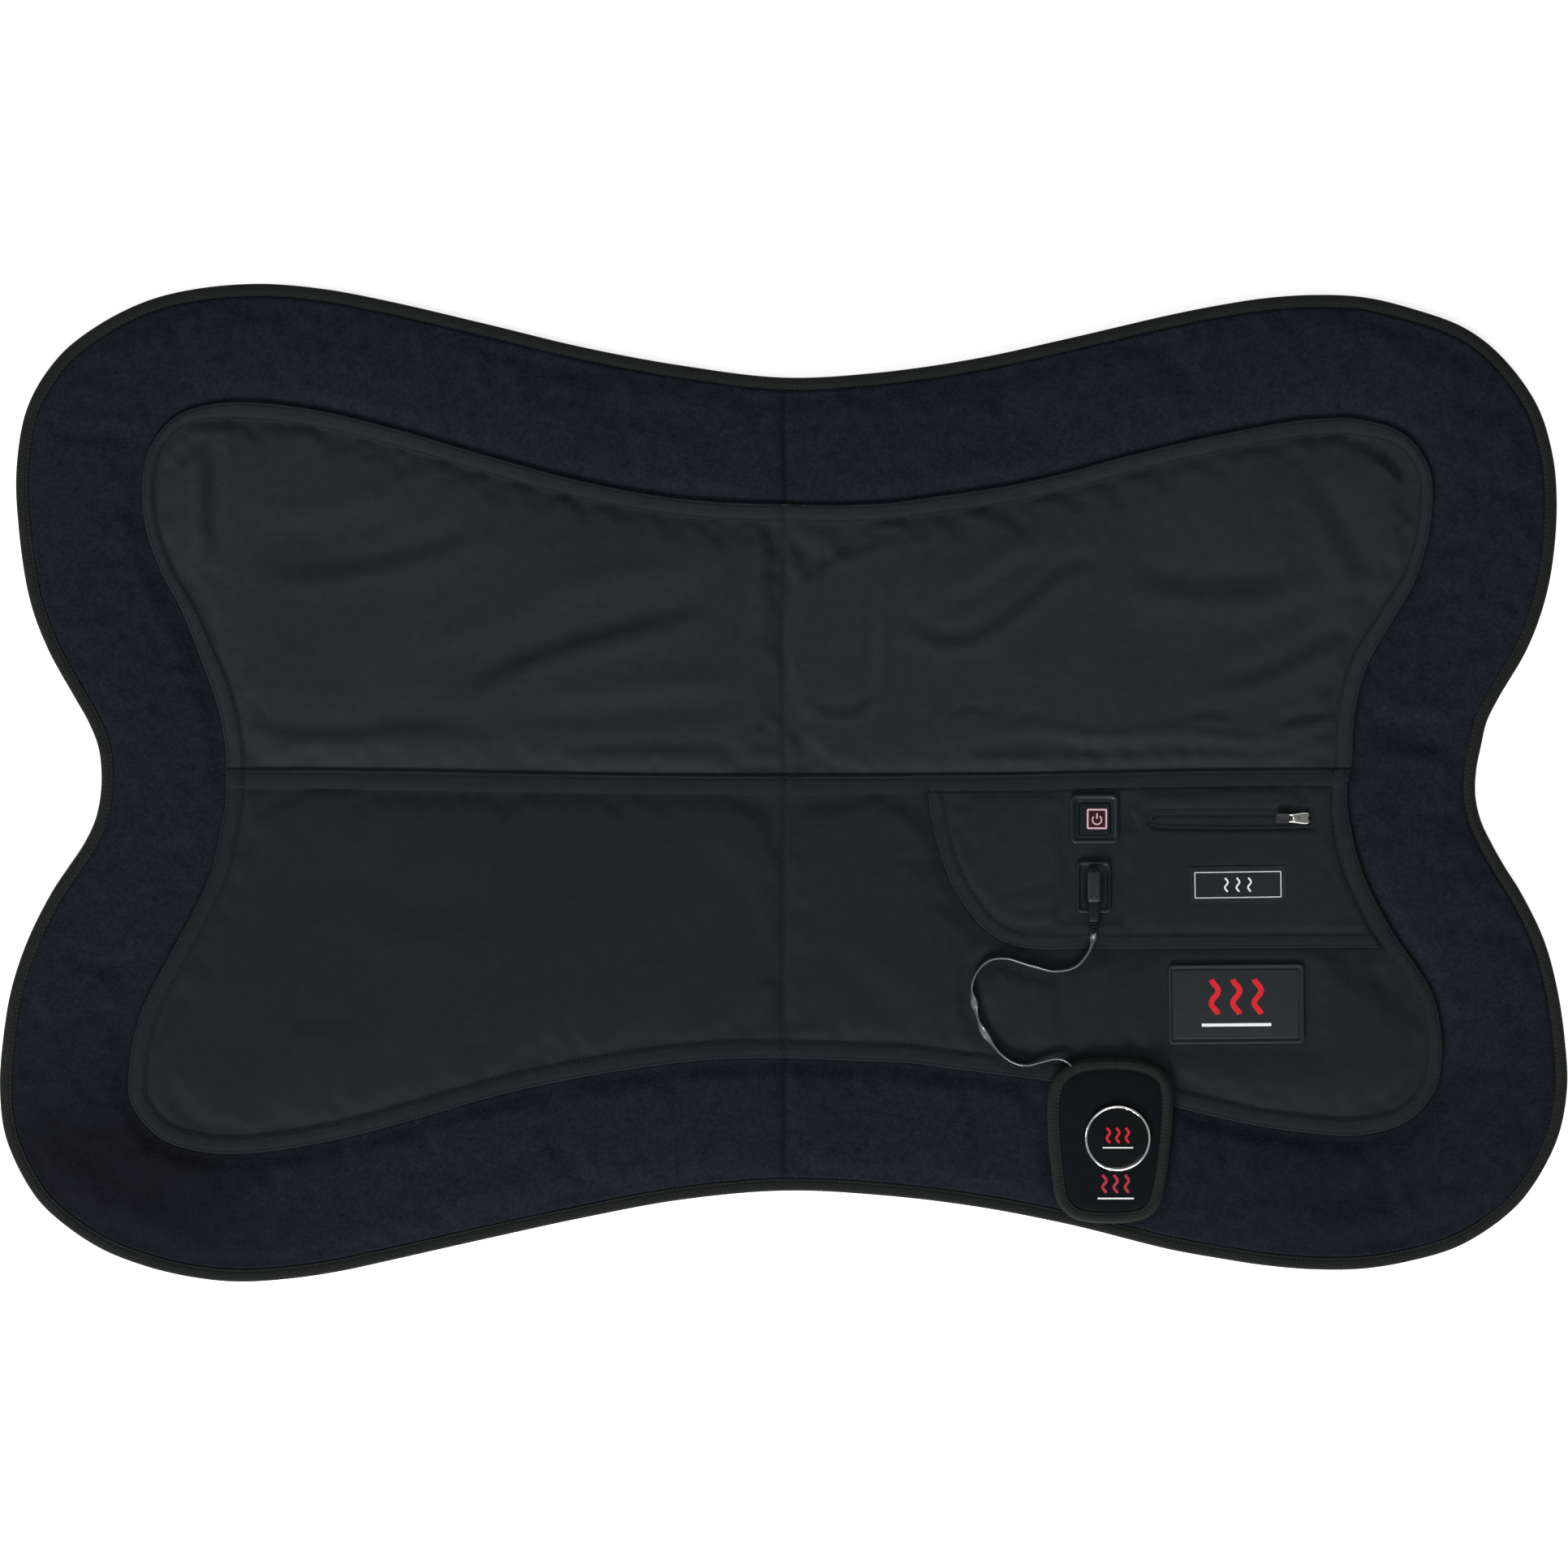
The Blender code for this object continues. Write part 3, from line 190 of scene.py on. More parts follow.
# ----------------------------------------------------------------------------- small maths
def curve(points, closed, step):
    """Centripetal Catmull-Rom curve through the points, cut into pieces of equal length."""
    pts = [np.asarray(p, float) for p in points]
    n, dense = len(pts), []
    for i in range(n if closed else n - 1):
        if closed:
            p0, p1, p2, p3 = pts[i - 1], pts[i], pts[(i + 1) % n], pts[(i + 2) % n]
        else:
            p1, p2 = pts[i], pts[i + 1]
            p0 = pts[i - 1] if i > 0 else p1 * 2 - p2
            p3 = pts[i + 2] if i + 2 < n else p2 * 2 - p1
        t1 = np.linalg.norm(p1 - p0) ** 0.5
        t2 = t1 + np.linalg.norm(p2 - p1) ** 0.5
        t3 = t2 + np.linalg.norm(p3 - p2) ** 0.5
        t = t1 + (t2 - t1) * np.arange(16)[:, None] / 16
        a1 = p0 * (t1 - t) / t1 + p1 * t / t1
        a2 = p1 * (t2 - t) / (t2 - t1) + p2 * (t - t1) / (t2 - t1)
        a3 = p2 * (t3 - t) / (t3 - t2) + p3 * (t - t2) / (t3 - t2)
        b1 = a1 * (t2 - t) / t2 + a2 * t / t2
        b2 = a2 * (t3 - t) / (t3 - t1) + a3 * (t - t1) / (t3 - t1)
        dense.append(b1 * (t2 - t) / (t2 - t1) + b2 * (t - t1) / (t2 - t1))
    dense.append((pts[0] if closed else pts[-1])[None])
    return even(np.vstack(dense), closed, step)


def even(dense, closed, step):
    """The polyline cut into pieces of equal length."""
    s = np.concatenate([[0], np.cumsum(np.linalg.norm(np.diff(dense, axis=0), axis=1))])
    count = max(2, int(round(s[-1] / step)))
    t = np.linspace(0, s[-1], count + 1)
    out = np.stack([np.interp(t, s, dense[:, k]) for k in range(dense.shape[1])], 1)
    return out[:-1] if closed else out


def area(loop):
    x, y = loop[:, 0], loop[:, 1]
    return 0.5 * float(np.sum(x * np.roll(y, -1) - np.roll(x, -1) * y))


def anticlockwise(loop):
    return loop if area(loop) > 0 else loop[::-1].copy()


def smooth(a, b, x):
    t = np.clip((x - a) / (b - a), 0, 1)
    return t * t * (3 - 2 * t)


def bump(x, centre, width):
    return np.exp(-((x - centre) / width) ** 2)


def inside(loop, P):
    """Which of the points lie within the loop."""
    x0, y0 = loop[:, 0], loop[:, 1]
    x1, y1 = np.roll(x0, -1), np.roll(y0, -1)
    out = np.zeros(len(P), bool)
    for k in range(0, len(P), 8000):
        px, py = P[k:k + 8000, 0:1], P[k:k + 8000, 1:2]
        crosses = (y0 > py) != (y1 > py)
        with np.errstate(divide="ignore", invalid="ignore"):
            xs = x0 + (py - y0) * (x1 - x0) / (y1 - y0)
        out[k:k + 8000] = (np.sum(crosses & (px < xs), axis=1) % 2) == 1
    return out


def noise2(P, size, seed):
    """Smooth value noise, from -1 to 1, with features about that size."""
    q = P / size
    i = np.floor(q).astype(np.int64)
    f = q - i
    f = f * f * (3 - 2 * f)

    def h(ix, iy):
        v = (ix * 374761393 + iy * 668265263 + seed * 974711) & 0xFFFFFFFF
        v = ((v ^ (v >> 13)) * 1274126177) & 0xFFFFFFFF
        return ((v ^ (v >> 16)) & 0xFFFF) / 32767.5 - 1.0

    a = h(i[:, 0], i[:, 1]) * (1 - f[:, 0]) + h(i[:, 0] + 1, i[:, 1]) * f[:, 0]
    b = h(i[:, 0], i[:, 1] + 1) * (1 - f[:, 0]) + h(i[:, 0] + 1, i[:, 1] + 1) * f[:, 0]
    return a * (1 - f[:, 1]) + b * f[:, 1]


class Line:
    """A polyline that says how far a point is from it, on which side, and how far along."""

    def __init__(self, pts, closed=False, step=1.0):
        p = np.asarray(pts, float)[:, :2]
        if closed:
            p = np.vstack([p, p[:1]])
        s = np.concatenate([[0], np.cumsum(np.linalg.norm(np.diff(p, axis=0), axis=1))])
        t = np.linspace(0, s[-1], max(2, int(s[-1] / step)) + 1)
        self.q = np.stack([np.interp(t, s, p[:, 0]), np.interp(t, s, p[:, 1])], 1)
        self.s, self.length = t, float(s[-1])
        if closed:
            d = np.roll(self.q[:-1], -1, 0) - np.roll(self.q[:-1], 1, 0)
            d = np.vstack([d, d[:1]])
        else:
            d = np.gradient(self.q, axis=0)
        self.t = d / np.linalg.norm(d, axis=1)[:, None]
        self.kd = kdtree.KDTree(len(self.q))
        for k, (x, y) in enumerate(self.q):
            self.kd.insert((x, y, 0), k)
        self.kd.balance()

    def near(self, P):
        """Signed distance (positive on the left), arc length, and plain distance."""
        find = self.kd.find
        k = np.fromiter((find((x, y, 0.0))[1] for x, y in P), np.int64, len(P))
        d = P - self.q[k]
        t = self.t[k]
        return d[:, 1] * t[:, 0] - d[:, 0] * t[:, 1], self.s[k] + (d * t).sum(1), np.hypot(d[:, 0], d[:, 1])


def offset(loop, distance, closed=True):
    """The line moved to its left by the distance, which may differ from point to point."""
    if closed:
        d = np.roll(loop, -1, 0) - np.roll(loop, 1, 0)
    else:
        d = np.gradient(loop, axis=0)
    d = d / np.linalg.norm(d, axis=1)[:, None]
    return loop + np.stack([-d[:, 1], d[:, 0]], 1) * np.reshape(distance, (-1, 1))


# ----------------------------------------------------------------------------- meshes
def make(name, verts, faces, material, angle=40, smooth_shade=True):
    """A mesh object from points in mm."""
    mesh = bpy.data.meshes.new(name)
    verts = np.asarray(verts, float) * MM
    mesh.from_pydata(verts.tolist(), [], faces if isinstance(faces, list) else faces.tolist())
    mesh.update()
    obj = bpy.data.objects.new(name, mesh)
    bpy.context.scene.collection.objects.link(obj)
    if material is not None:
        mesh.materials.append(material)
    if smooth_shade:
        mesh.polygons.foreach_set("use_smooth", np.ones(len(mesh.polygons), bool))
        mesh.set_sharp_from_angle(angle=math.radians(angle))
    return obj


def hexgrid(lo, hi, s):
    rows = []
    for j, y in enumerate(np.arange(lo[1], hi[1], s * 0.866)):
        x = np.arange(lo[0] + (s / 2 if j % 2 else 0), hi[0], s)
        rows.append(np.stack([x, np.full(len(x), y)], 1))
    return np.vstack(rows)


def triangulate(loops, extra, s, keep_off=0.55):
    """Points and triangles that fill the first loop and leave the others open."""
    pts, edges, n = [], [], 0
    for loop in loops:
        m = len(loop)
        pts.append(loop)
        edges += [(n + i, n + (i + 1) % m) for i in range(m)]
        n += m
    rim = Line(np.vstack([loops[0], loops[0][:1]]), step=0.7)
    rims = [rim] + [Line(np.vstack([l, l[:1]]), step=0.7) for l in loops[1:]]

    def allowed(P, gap):
        ok = inside(loops[0], P)
        for hole in loops[1:]:
            ok &= ~inside(hole, P)
        P, = (P[ok],)
        for r in rims:
            P = P[r.near(P)[2] > gap]
        return P

    grid = hexgrid(loops[0].min(0), loops[0].max(0), s)
    grid = grid + 0.18 * s * np.stack([noise2(grid, 3.1, 5), noise2(grid, 2.7, 9)], 1)
    grid = allowed(grid, s * keep_off)
    if extra is not None and len(extra):
        extra = allowed(extra, 0.22)
        kd = kdtree.KDTree(len(extra))
        for k, (x, y) in enumerate(extra):
            kd.insert((x, y, 0), k)
        kd.balance()
        far = np.fromiter((kd.find((x, y, 0.0))[2] for x, y in grid), float, len(grid)) > s * keep_off
        grid = np.vstack([extra, grid[far]])
    pts.append(grid)
    pts = np.vstack(pts)
    out = delaunay_2d_cdt([Vector(p) for p in pts], edges, [], 0, 1e-5, False)
    V = np.array([tuple(v) for v in out[0]], float)
    T = np.array(out[2], np.int64)
    C = V[T].mean(1)
    ok = inside(loops[0], C)
    for hole in loops[1:]:
        ok &= ~inside(hole, C)
    T = T[ok]
    a = V[T]
    cross = (a[:, 1, 0] - a[:, 0, 0]) * (a[:, 2, 1] - a[:, 0, 1]) - (a[:, 1, 1] - a[:, 0, 1]) * (a[:, 2, 0] - a[:, 0, 0])
    T[cross < 0] = T[cross < 0][:, ::-1]
    T = T[np.abs(cross) > 1e-9]
    used = np.unique(T)
    renum = np.full(len(V), -1)
    renum[used] = np.arange(len(used))
    return V[used], renum[T]


def sheet_piece(name, loops, extra, s, top, thick, material, angle=50, bottom=None):
    """A closed thin cloth: the upper surface follows top(P), the lower one lies under it."""
    P, T = triangulate(loops, extra, s)
    zt = top(P)
    zb = bottom(P) if bottom is not None else zt - thick
    n = len(P)
    V = np.vstack([np.column_stack([P, zt]), np.column_stack([P, zb])])
    E = np.vstack([T[:, [0, 1]], T[:, [1, 2]], T[:, [2, 0]]])
    key = E[:, 0] * (n + 1) + E[:, 1]
    back = E[:, 1] * (n + 1) + E[:, 0]
    edge = E[~np.isin(key, back)]
    faces = T.tolist() + (T[:, ::-1] + n).tolist()
    faces += np.column_stack([edge[:, 0] + n, edge[:, 1] + n, edge[:, 1], edge[:, 0]]).tolist()
    return make(name, V, faces, material, angle)


def sweep(name, centre, left, up, profile, closed, material, angle=40, uv=False, cap=True):
    """The profile (across, height) carried along the line. left and up are unit vectors at each point."""
    n = len(centre)
    prof = profile if profile.ndim == 3 else np.repeat(profile[None], n, 0)
    m = prof.shape[1]
    V = centre[:, None, :] + left[:, None, :] * prof[:, :, 0:1] + up[:, None, :] * prof[:, :, 1:2]
    i = np.arange(n if closed else n - 1)[:, None]
    j = np.arange(m)[None]
    i2, j2 = (i + 1) % n, (j + 1) % m
    F = np.stack([i * m + j, i2 * m + j, i2 * m + j2, i * m + j2], -1).reshape(-1, 4)
    faces = F.tolist()
    if not closed and cap:
        faces.append(list(range(m)))
        faces.append([(n - 1) * m + k for k in range(m)][::-1])
    obj = outward(make(name, V.reshape(-1, 3), faces, material, angle))
    if uv:
        along = np.concatenate([[0], np.cumsum(np.linalg.norm(np.diff(centre, axis=0), axis=1))])
        across = np.concatenate([[0], np.cumsum(np.linalg.norm(np.diff(prof[0], axis=0), axis=1))])
        total = along[-1] + np.linalg.norm(centre[0] - centre[-1])
        layer = obj.data.uv_layers.new(name="Tape")
        vi = np.zeros(len(obj.data.loops), np.int32)
        obj.data.loops.foreach_get("vertex_index", vi)
        u = along[vi // m] * MM
        w = across[vi % m] * MM
        starts = np.zeros(len(obj.data.polygons), np.int64)
        obj.data.polygons.foreach_get("loop_start", starts)
        totals = np.zeros(len(obj.data.polygons), np.int64)
        obj.data.polygons.foreach_get("loop_total", totals)
        for st, ct in zip(starts, totals):
            if ct == 4:
                k = slice(st, st + 4)
                if u[k].max() - u[k].min() > total * MM / 2:
                    u[k] = np.where(u[k] < total * MM / 2, u[k] + total * MM, u[k])
                if w[k].max() - w[k].min() > across[-1] * MM / 2:
                    w[k] = np.where(w[k] < across[-1] * MM / 2, across[-1] * MM, w[k])
        layer.data.foreach_set("uv", np.stack([u, w], 1).ravel().astype(np.float32))
    return obj


def rr(cx, cy, sx, sy, r, k=5, m=1):
    """Rounded rectangle, anticlockwise, with k+1 points a corner and m extra points a side."""
    out = []
    corners = ((1, 1, 0), (-1, 1, 90), (-1, -1, 180), (1, -1, 270))
    for a, b, start in corners:
        arc = []
        for i in range(k + 1):
            t = math.radians(start + 90 * i / k)
            arc.append((cx + a * (sx / 2 - r) + r * math.cos(t), cy + b * (sy / 2 - r) + r * math.sin(t)))
        out.append(arc)
    pts = []
    for q in range(4):
        pts += out[q]
        a, b = np.array(out[q][-1]), np.array(out[(q + 1) % 4][0])
        for i in range(1, m + 1):
            pts.append(tuple(a + (b - a) * i / (m + 1)))
    return np.array(pts)


def loft(name, rings, material, ring_shape=False, angle=35):
    """Skin over loops of equal count, each an (n, 2) loop and a height; ends are capped, or joined."""
    n = len(rings[0][0])
    V = []
    for loop, z in rings:
        zz = np.full(n, z) if np.isscalar(z) else z
        V.append(np.column_stack([loop, zz]))
    V = np.vstack(V)
    faces = []
    m = len(rings)
    for k in range(m if ring_shape else m - 1):
        a, b = k * n, ((k + 1) % m) * n
        for i in range(n):
            j = (i + 1) % n
            faces.append((a + i, a + j, b + j, b + i))
    if not ring_shape:
        faces.append(tuple(range(n))[::-1])
        faces.append(tuple((m - 1) * n + i for i in range(n)))
    return outward(make(name, V, faces, material, angle))


def turned(name, centre, profile, segments, material, angle=35):
    """Turned piece from a closed or axis-to-axis profile of (radius, height)."""
    t = np.arange(segments) * 2 * math.pi / segments
    V, rows = [], []
    for r, z in profile:
        if r < 1e-6:
            rows.append([len(V)])
            V.append((centre[0], centre[1], z))
        else:
            rows.append(list(range(len(V), len(V) + segments)))
            V += [(centre[0] + r * math.cos(a), centre[1] + r * math.sin(a), z) for a in t]
    faces = []
    closed = profile[0][0] > 1e-6
    pairs = list(zip(rows, rows[1:])) + ([(rows[-1], rows[0])] if closed else [])
    for a, b in pairs:
        for i in range(segments):
            j = (i + 1) % segments
            if len(a) == 1 and len(b) == 1:
                continue
            if len(a) == 1:
                faces.append((a[0], b[j], b[i]))
            elif len(b) == 1:
                faces.append((a[i], a[j], b[0]))
            else:
                faces.append((a[i], a[j], b[j], b[i]))
    return outward(make(name, V, faces, material, angle))


def join(name, objs):
    """Several mesh objects as one, with their materials kept."""
    bm = bmesh.new()
    mats = []
    for o in objs:
        base = []
        for m in o.data.materials:
            if m not in mats:
                mats.append(m)
            base.append(mats.index(m))
        start = len(bm.faces)
        bm.from_mesh(o.data)
        bm.faces.ensure_lookup_table()
        for f in bm.faces[start:]:
            f.material_index = base[f.material_index] if base else 0
    mesh = bpy.data.meshes.new(name)
    bm.to_mesh(mesh)
    bm.free()
    for m in mats:
        mesh.materials.append(m)
    for o in objs:
        bpy.data.objects.remove(o, do_unlink=True)
    obj = bpy.data.objects.new(name, mesh)
    bpy.context.scene.collection.objects.link(obj)
    mesh.set_sharp_from_angle(angle=math.radians(35))
    return obj


def stitches(name, lines, top, material, length=2.3, pitch=3.1, r=0.27, lift=0.12):
    """Thread along each line: one small bead a stitch, its ends sunk in the cloth."""
    prof = [(-1.0, 0.0), (-0.82, 0.62), (-0.3, 1.0), (0.3, 1.0), (0.82, 0.62), (1.0, 0.0)]
    C, D = [], []
    for line, closed in lines:
        q = even(np.vstack([line, line[:1]]) if closed else line, False, pitch)
        mid = (q[1:] + q[:-1]) / 2
        d = q[1:] - q[:-1]
        C.append(mid)
        D.append(d / np.linalg.norm(d, axis=1)[:, None])
    C, D = np.vstack(C), np.vstack(D)
    jig = noise2(C, 1.7, 3)
    half = length / 2 * (1 + 0.10 * jig)
    z0 = top(C)
    za, zb = top(C - D * length / 2), top(C + D * length / 2)
    slope = (zb - za) / length
    n = len(C)
    side = np.column_stack([-D[:, 1], D[:, 0]])
    V, ids = [], []
    k = 0
    sides = 6
    for t, rad in prof:
        cnt = 1 if rad == 0 else sides
        for q in range(cnt):
            a = 2 * math.pi * q / sides
            off = side * (math.cos(a) * rad * r)
            h = math.sin(a) * rad * r - (0.30 * abs(t) ** 3)
            x = C + D * (t * half)[:, None] + off
            V.append(np.column_stack([x, z0 + slope * t * half + h + lift]))
        ids.append(list(range(k, k + cnt)))
        k += cnt
    V = np.stack(V, 1)
    base = []
    for a, b in zip(ids, ids[1:]):
        for q in range(sides):
            w = (q + 1) % sides
            if len(a) == 1:
                base.append((a[0], b[q], b[w], b[w]))
            elif len(b) == 1:
                base.append((a[q], b[0], a[w], a[w]))
            else:
                base.append((a[q], b[q], b[w], a[w]))
    faces = []
    for i in range(n):
        o = i * k
        for f in base:
            faces.append([o + v for v in (f[:3] if f[2] == f[3] else f)])
    return outward(make(name, V.reshape(-1, 3), faces, material, 80))


def outward(obj):
    """Turns the whole mesh over if its volume is negative."""
    me = obj.data
    me.calc_loop_triangles()
    tri = np.zeros(len(me.loop_triangles) * 3, np.int64)
    me.loop_triangles.foreach_get("vertices", tri)
    co = np.zeros(len(me.vertices) * 3)
    me.vertices.foreach_get("co", co)
    p = co.reshape(-1, 3)[tri.reshape(-1, 3)]
    if np.einsum("ij,ij->i", p[:, 0], np.cross(p[:, 1], p[:, 2])).sum() < 0:
        me.flip_normals()
    return obj


# ----------------------------------------------------------------------------- materials
def material(name, color, rough=0.8, spec=0.1, metal=0.0, **more):
    mat = bpy.data.materials.new(name)
    mat.use_nodes = True
    sh = mat.node_tree.nodes["Principled BSDF"]
    sh.inputs["Base Color"].default_value = (*color, 1)
    sh.inputs["Roughness"].default_value = rough
    sh.inputs["Specular IOR Level"].default_value = spec
    sh.inputs["Metallic"].default_value = metal
    for key, value in more.items():
        sh.inputs[key.replace("_", " ")].default_value = value
    mat.diffuse_color = (*color, 1)
    return mat


class Nodes:
    """Short hand for building a material's nodes."""

    def __init__(self, mat):
        self.mat, self.t = mat, mat.node_tree
        self.sh = self.t.nodes["Principled BSDF"]
        self.obj = self.t.nodes.new("ShaderNodeTexCoord").outputs["Object"]

    def add(self, kind, inputs=(), **attrs):
        n = self.t.nodes.new(kind)
        for a, v in attrs.items():
            setattr(n, a, v)
        for key, v in dict(inputs).items():
            if isinstance(v, bpy.types.NodeSocket):
                self.t.links.new(v, n.inputs[key])
            else:
                n.inputs[key].default_value = v
        return n

    def noise(self, scale, detail=2.0, rough=0.5, vector=None, stretch=None):
        v = vector or self.obj
        if stretch:
            v = self.add("ShaderNodeMapping", {"Vector": v, "Scale": stretch}).outputs[0]
        return self.add("ShaderNodeTexNoise", {"Vector": v, "Scale": scale, "Detail": detail, "Roughness": rough}).outputs["Fac"]

    def waves(self, pitch, axis, vector=None, distortion=0.0, profile="SIN"):
        return self.add("ShaderNodeTexWave", {"Vector": vector or self.obj, "Scale": 0.31416 / pitch, "Distortion": distortion,
                                             "Detail": 0.0}, wave_type="BANDS", bands_direction=axis, wave_profile=profile).outputs["Fac"]

    def math(self, op, a, b=0.0, clamp=False):
        n = self.add("ShaderNodeMath", {0: a, 1: b}, operation=op, use_clamp=clamp)
        return n.outputs[0]

    def span(self, v, a, b, c=0.0, d=1.0):
        return self.add("ShaderNodeMapRange", {"Value": v, "From Min": a, "From Max": b, "To Min": c, "To Max": d}).outputs[0]

    def mix(self, f, a, b, blend="MIX"):
        n = self.add("ShaderNodeMix", data_type="RGBA", blend_type=blend)
        for k, v in ((0, f), (6, a), (7, b)):
            if isinstance(v, bpy.types.NodeSocket):
                self.t.links.new(v, n.inputs[k])
            else:
                n.inputs[k].default_value = v if k == 0 else (*v, 1)
        return n.outputs[2]

    def color(self, socket):
        self.t.links.new(socket, self.sh.inputs["Base Color"])

    def rough(self, socket):
        self.t.links.new(socket, self.sh.inputs["Roughness"])

    def bump(self, height, distance, strength=1.0, base=None):
        ins = {"Height": height, "Distance": distance, "Strength": strength}
        if base is not None:
            ins["Normal"] = base
        n = self.add("ShaderNodeBump", ins).outputs[0]
        self.t.links.new(n, self.sh.inputs["Normal"])
        return n


def woven(name, dark, light, tilt=(1.0, 1.0, 1.0), sheen=0.05):
    """Plain-weave softshell: fine threads, small mottling in the raised fibres, slow tone changes, and painted shade
    read from a mesh attribute.
    """
    mat = material(name, light, 0.82, 0.09, Sheen_Weight=sheen, Sheen_Roughness=0.6)
    mat.node_tree.nodes["Principled BSDF"].inputs["Sheen Tint"].default_value = (0.55, 0.62, 0.68, 1)
    n = Nodes(mat)
    grain = n.noise(620, 2.5, 0.6)
    patch = n.noise(150, 2.0, 0.55)
    slow = n.noise(9.0, 2.0, 0.5)
    thread = n.math("MULTIPLY", n.waves(0.00105, "X", distortion=0.6), n.waves(0.00105, "Y", distortion=0.6))
    f = n.math("ADD", n.math("MULTIPLY", grain, 0.55), n.math("MULTIPLY", patch, 0.30))
    f = n.math("ADD", f, n.math("MULTIPLY", slow, 0.25))
    f = n.math("ADD", f, n.math("MULTIPLY", thread, 0.10))
    f = n.span(f, 0.36, 0.80)
    # painted shade: the mesh attribute darkens the cloth towards near black
    groove = n.add("ShaderNodeAttribute", attribute_name="PaintedShade").outputs["Fac"]
    base = n.mix(f, tuple(c * t for c, t in zip(dark, tilt)), tuple(c * t for c, t in zip(light, tilt)))
    n.color(n.mix(groove, base, tuple(c * 0.16 for c in dark)))
    n.rough(n.span(grain, 0.3, 0.7, 0.74, 0.92))
    b = n.bump(thread, 0.00012, 0.6)
    n.bump(n.math("ADD", grain, n.math("MULTIPLY", patch, 0.8)), 0.00022, 0.8, b)
    return mat


def loop_fabric(name, dark, light, warm):
    """Brushed loop fabric of the border: heather mottling, a soft raised pile, and painted shade read from a mesh
    attribute.
    """
    mat = material(name, light, 0.95, 0.06, Sheen_Weight=0.06, Sheen_Roughness=0.5)
    mat.node_tree.nodes["Principled BSDF"].inputs["Sheen Tint"].default_value = (0.45, 0.5, 0.65, 1)
    n = Nodes(mat)
    fleck = n.noise(430, 3.0, 0.65)
    clump = n.noise(120, 2.0, 0.5)
    slow = n.noise(5.0, 1.5, 0.5)
    curl = n.add("ShaderNodeTexVoronoi", {"Vector": n.obj, "Scale": 800.0}).outputs["Distance"]
    f = n.math("ADD", n.math("MULTIPLY", fleck, 0.75), n.math("MULTIPLY", clump, 0.30))
    f = n.span(n.math("ADD", f, n.math("MULTIPLY", curl, 0.10)), 0.36, 0.78)
    base = n.mix(f, dark, light)
    # painted shade: the mesh attribute darkens the border towards a dark purple
    groove = n.add("ShaderNodeAttribute", attribute_name="PaintedShade").outputs["Fac"]
    n.color(n.mix(groove, n.mix(n.span(slow, 0.45, 0.72, 0.0, 0.55), base, warm, "MULTIPLY"), (0.0018, 0.0012, 0.0018)))
    n.rough(n.span(fleck, 0.3, 0.7, 0.86, 1.0))
    b = n.bump(curl, 0.00025, 0.7)
    n.bump(n.math("ADD", fleck, n.math("MULTIPLY", clump, 0.6)), 0.0004, 0.8, b)
    return mat


def ribbed_tape(name, dark, light):
    """Grosgrain tape: ribs across the tape, a woven selvedge along both sides."""
    mat = material(name, light, 0.75, 0.14, Sheen_Weight=0.04)
    n = Nodes(mat)
    uv = n.add("ShaderNodeUVMap", uv_map="Tape").outputs[0]
    rib = n.waves(0.00125, "X", vector=uv)
    along = n.waves(0.0009, "Y", vector=uv)
    fuzz = n.noise(700, 2.0, 0.6)
    tone = n.noise(28, 2.0, 0.5)
    f = n.math("ADD", n.math("MULTIPLY", rib, 0.45), n.math("MULTIPLY", fuzz, 0.35))
    f = n.span(n.math("ADD", f, n.math("MULTIPLY", tone, 0.35)), 0.25, 0.85)
    n.color(n.mix(f, dark, light))
    n.rough(n.span(fuzz, 0.3, 0.7, 0.66, 0.86))
    b = n.bump(rib, 0.00022, 0.9)
    n.bump(n.math("ADD", fuzz, n.math("MULTIPLY", along, 0.15)), 0.00012, 0.7, b)
    return mat


def plastic(name, color, rough, spec=0.4, grain=0.00003, size=2200, **more):
    """Moulded plastic: fine spark-eroded grain, faint handling wear in the gloss."""
    mat = material(name, color, rough, spec, **more)
    n = Nodes(mat)
    fine = n.noise(size, 2.0, 0.6)
    wear = n.noise(90, 3.0, 0.6)
    n.rough(n.span(wear, 0.3, 0.7, max(0.02, rough - 0.06), min(1.0, rough + 0.08)))
    lo = tuple(c * 0.88 for c in color)
    hi = tuple(min(1.0, c * 1.10) for c in color)
    n.color(n.mix(n.span(fine, 0.3, 0.7), lo, hi))
    if grain:
        n.bump(fine, grain, 0.7)
    return mat


def metal(name, color, rough):
    mat = material(name, color, rough, 0.5, 1.0)
    n = Nodes(mat)
    s = n.noise(900, 2.0, 0.5, stretch=(1, 6, 1))
    n.rough(n.span(s, 0.3, 0.7, max(0.03, rough - 0.04), rough + 0.07))
    n.color(n.mix(n.span(s, 0.2, 0.8), tuple(c * 0.93 for c in color), color))
    return mat


def thread(name, color):
    mat = material(name, color, 0.6, 0.25, Sheen_Weight=0.04)
    n = Nodes(mat)
    twist = n.noise(2600, 2.0, 0.6, stretch=(1, 1, 1))
    n.color(n.mix(n.span(twist, 0.3, 0.7), tuple(c * 0.6 for c in color), color))
    n.bump(twist, 0.00005, 0.8)
    return mat


def glow(name, color, strength):
    mat = material(name, color, 0.35, 0.4)
    sh = mat.node_tree.nodes["Principled BSDF"]
    sh.inputs["Emission Color"].default_value = (*color, 1)
    sh.inputs["Emission Strength"].default_value = strength
    n = Nodes(mat)
    v = n.noise(500, 1.0, 0.5)
    n.color(n.mix(n.span(v, 0.2, 0.8), tuple(c * 0.10 for c in color), tuple(c * 0.12 for c in color)))
    n.rough(n.span(v, 0.2, 0.8, 0.28, 0.42))
    return mat


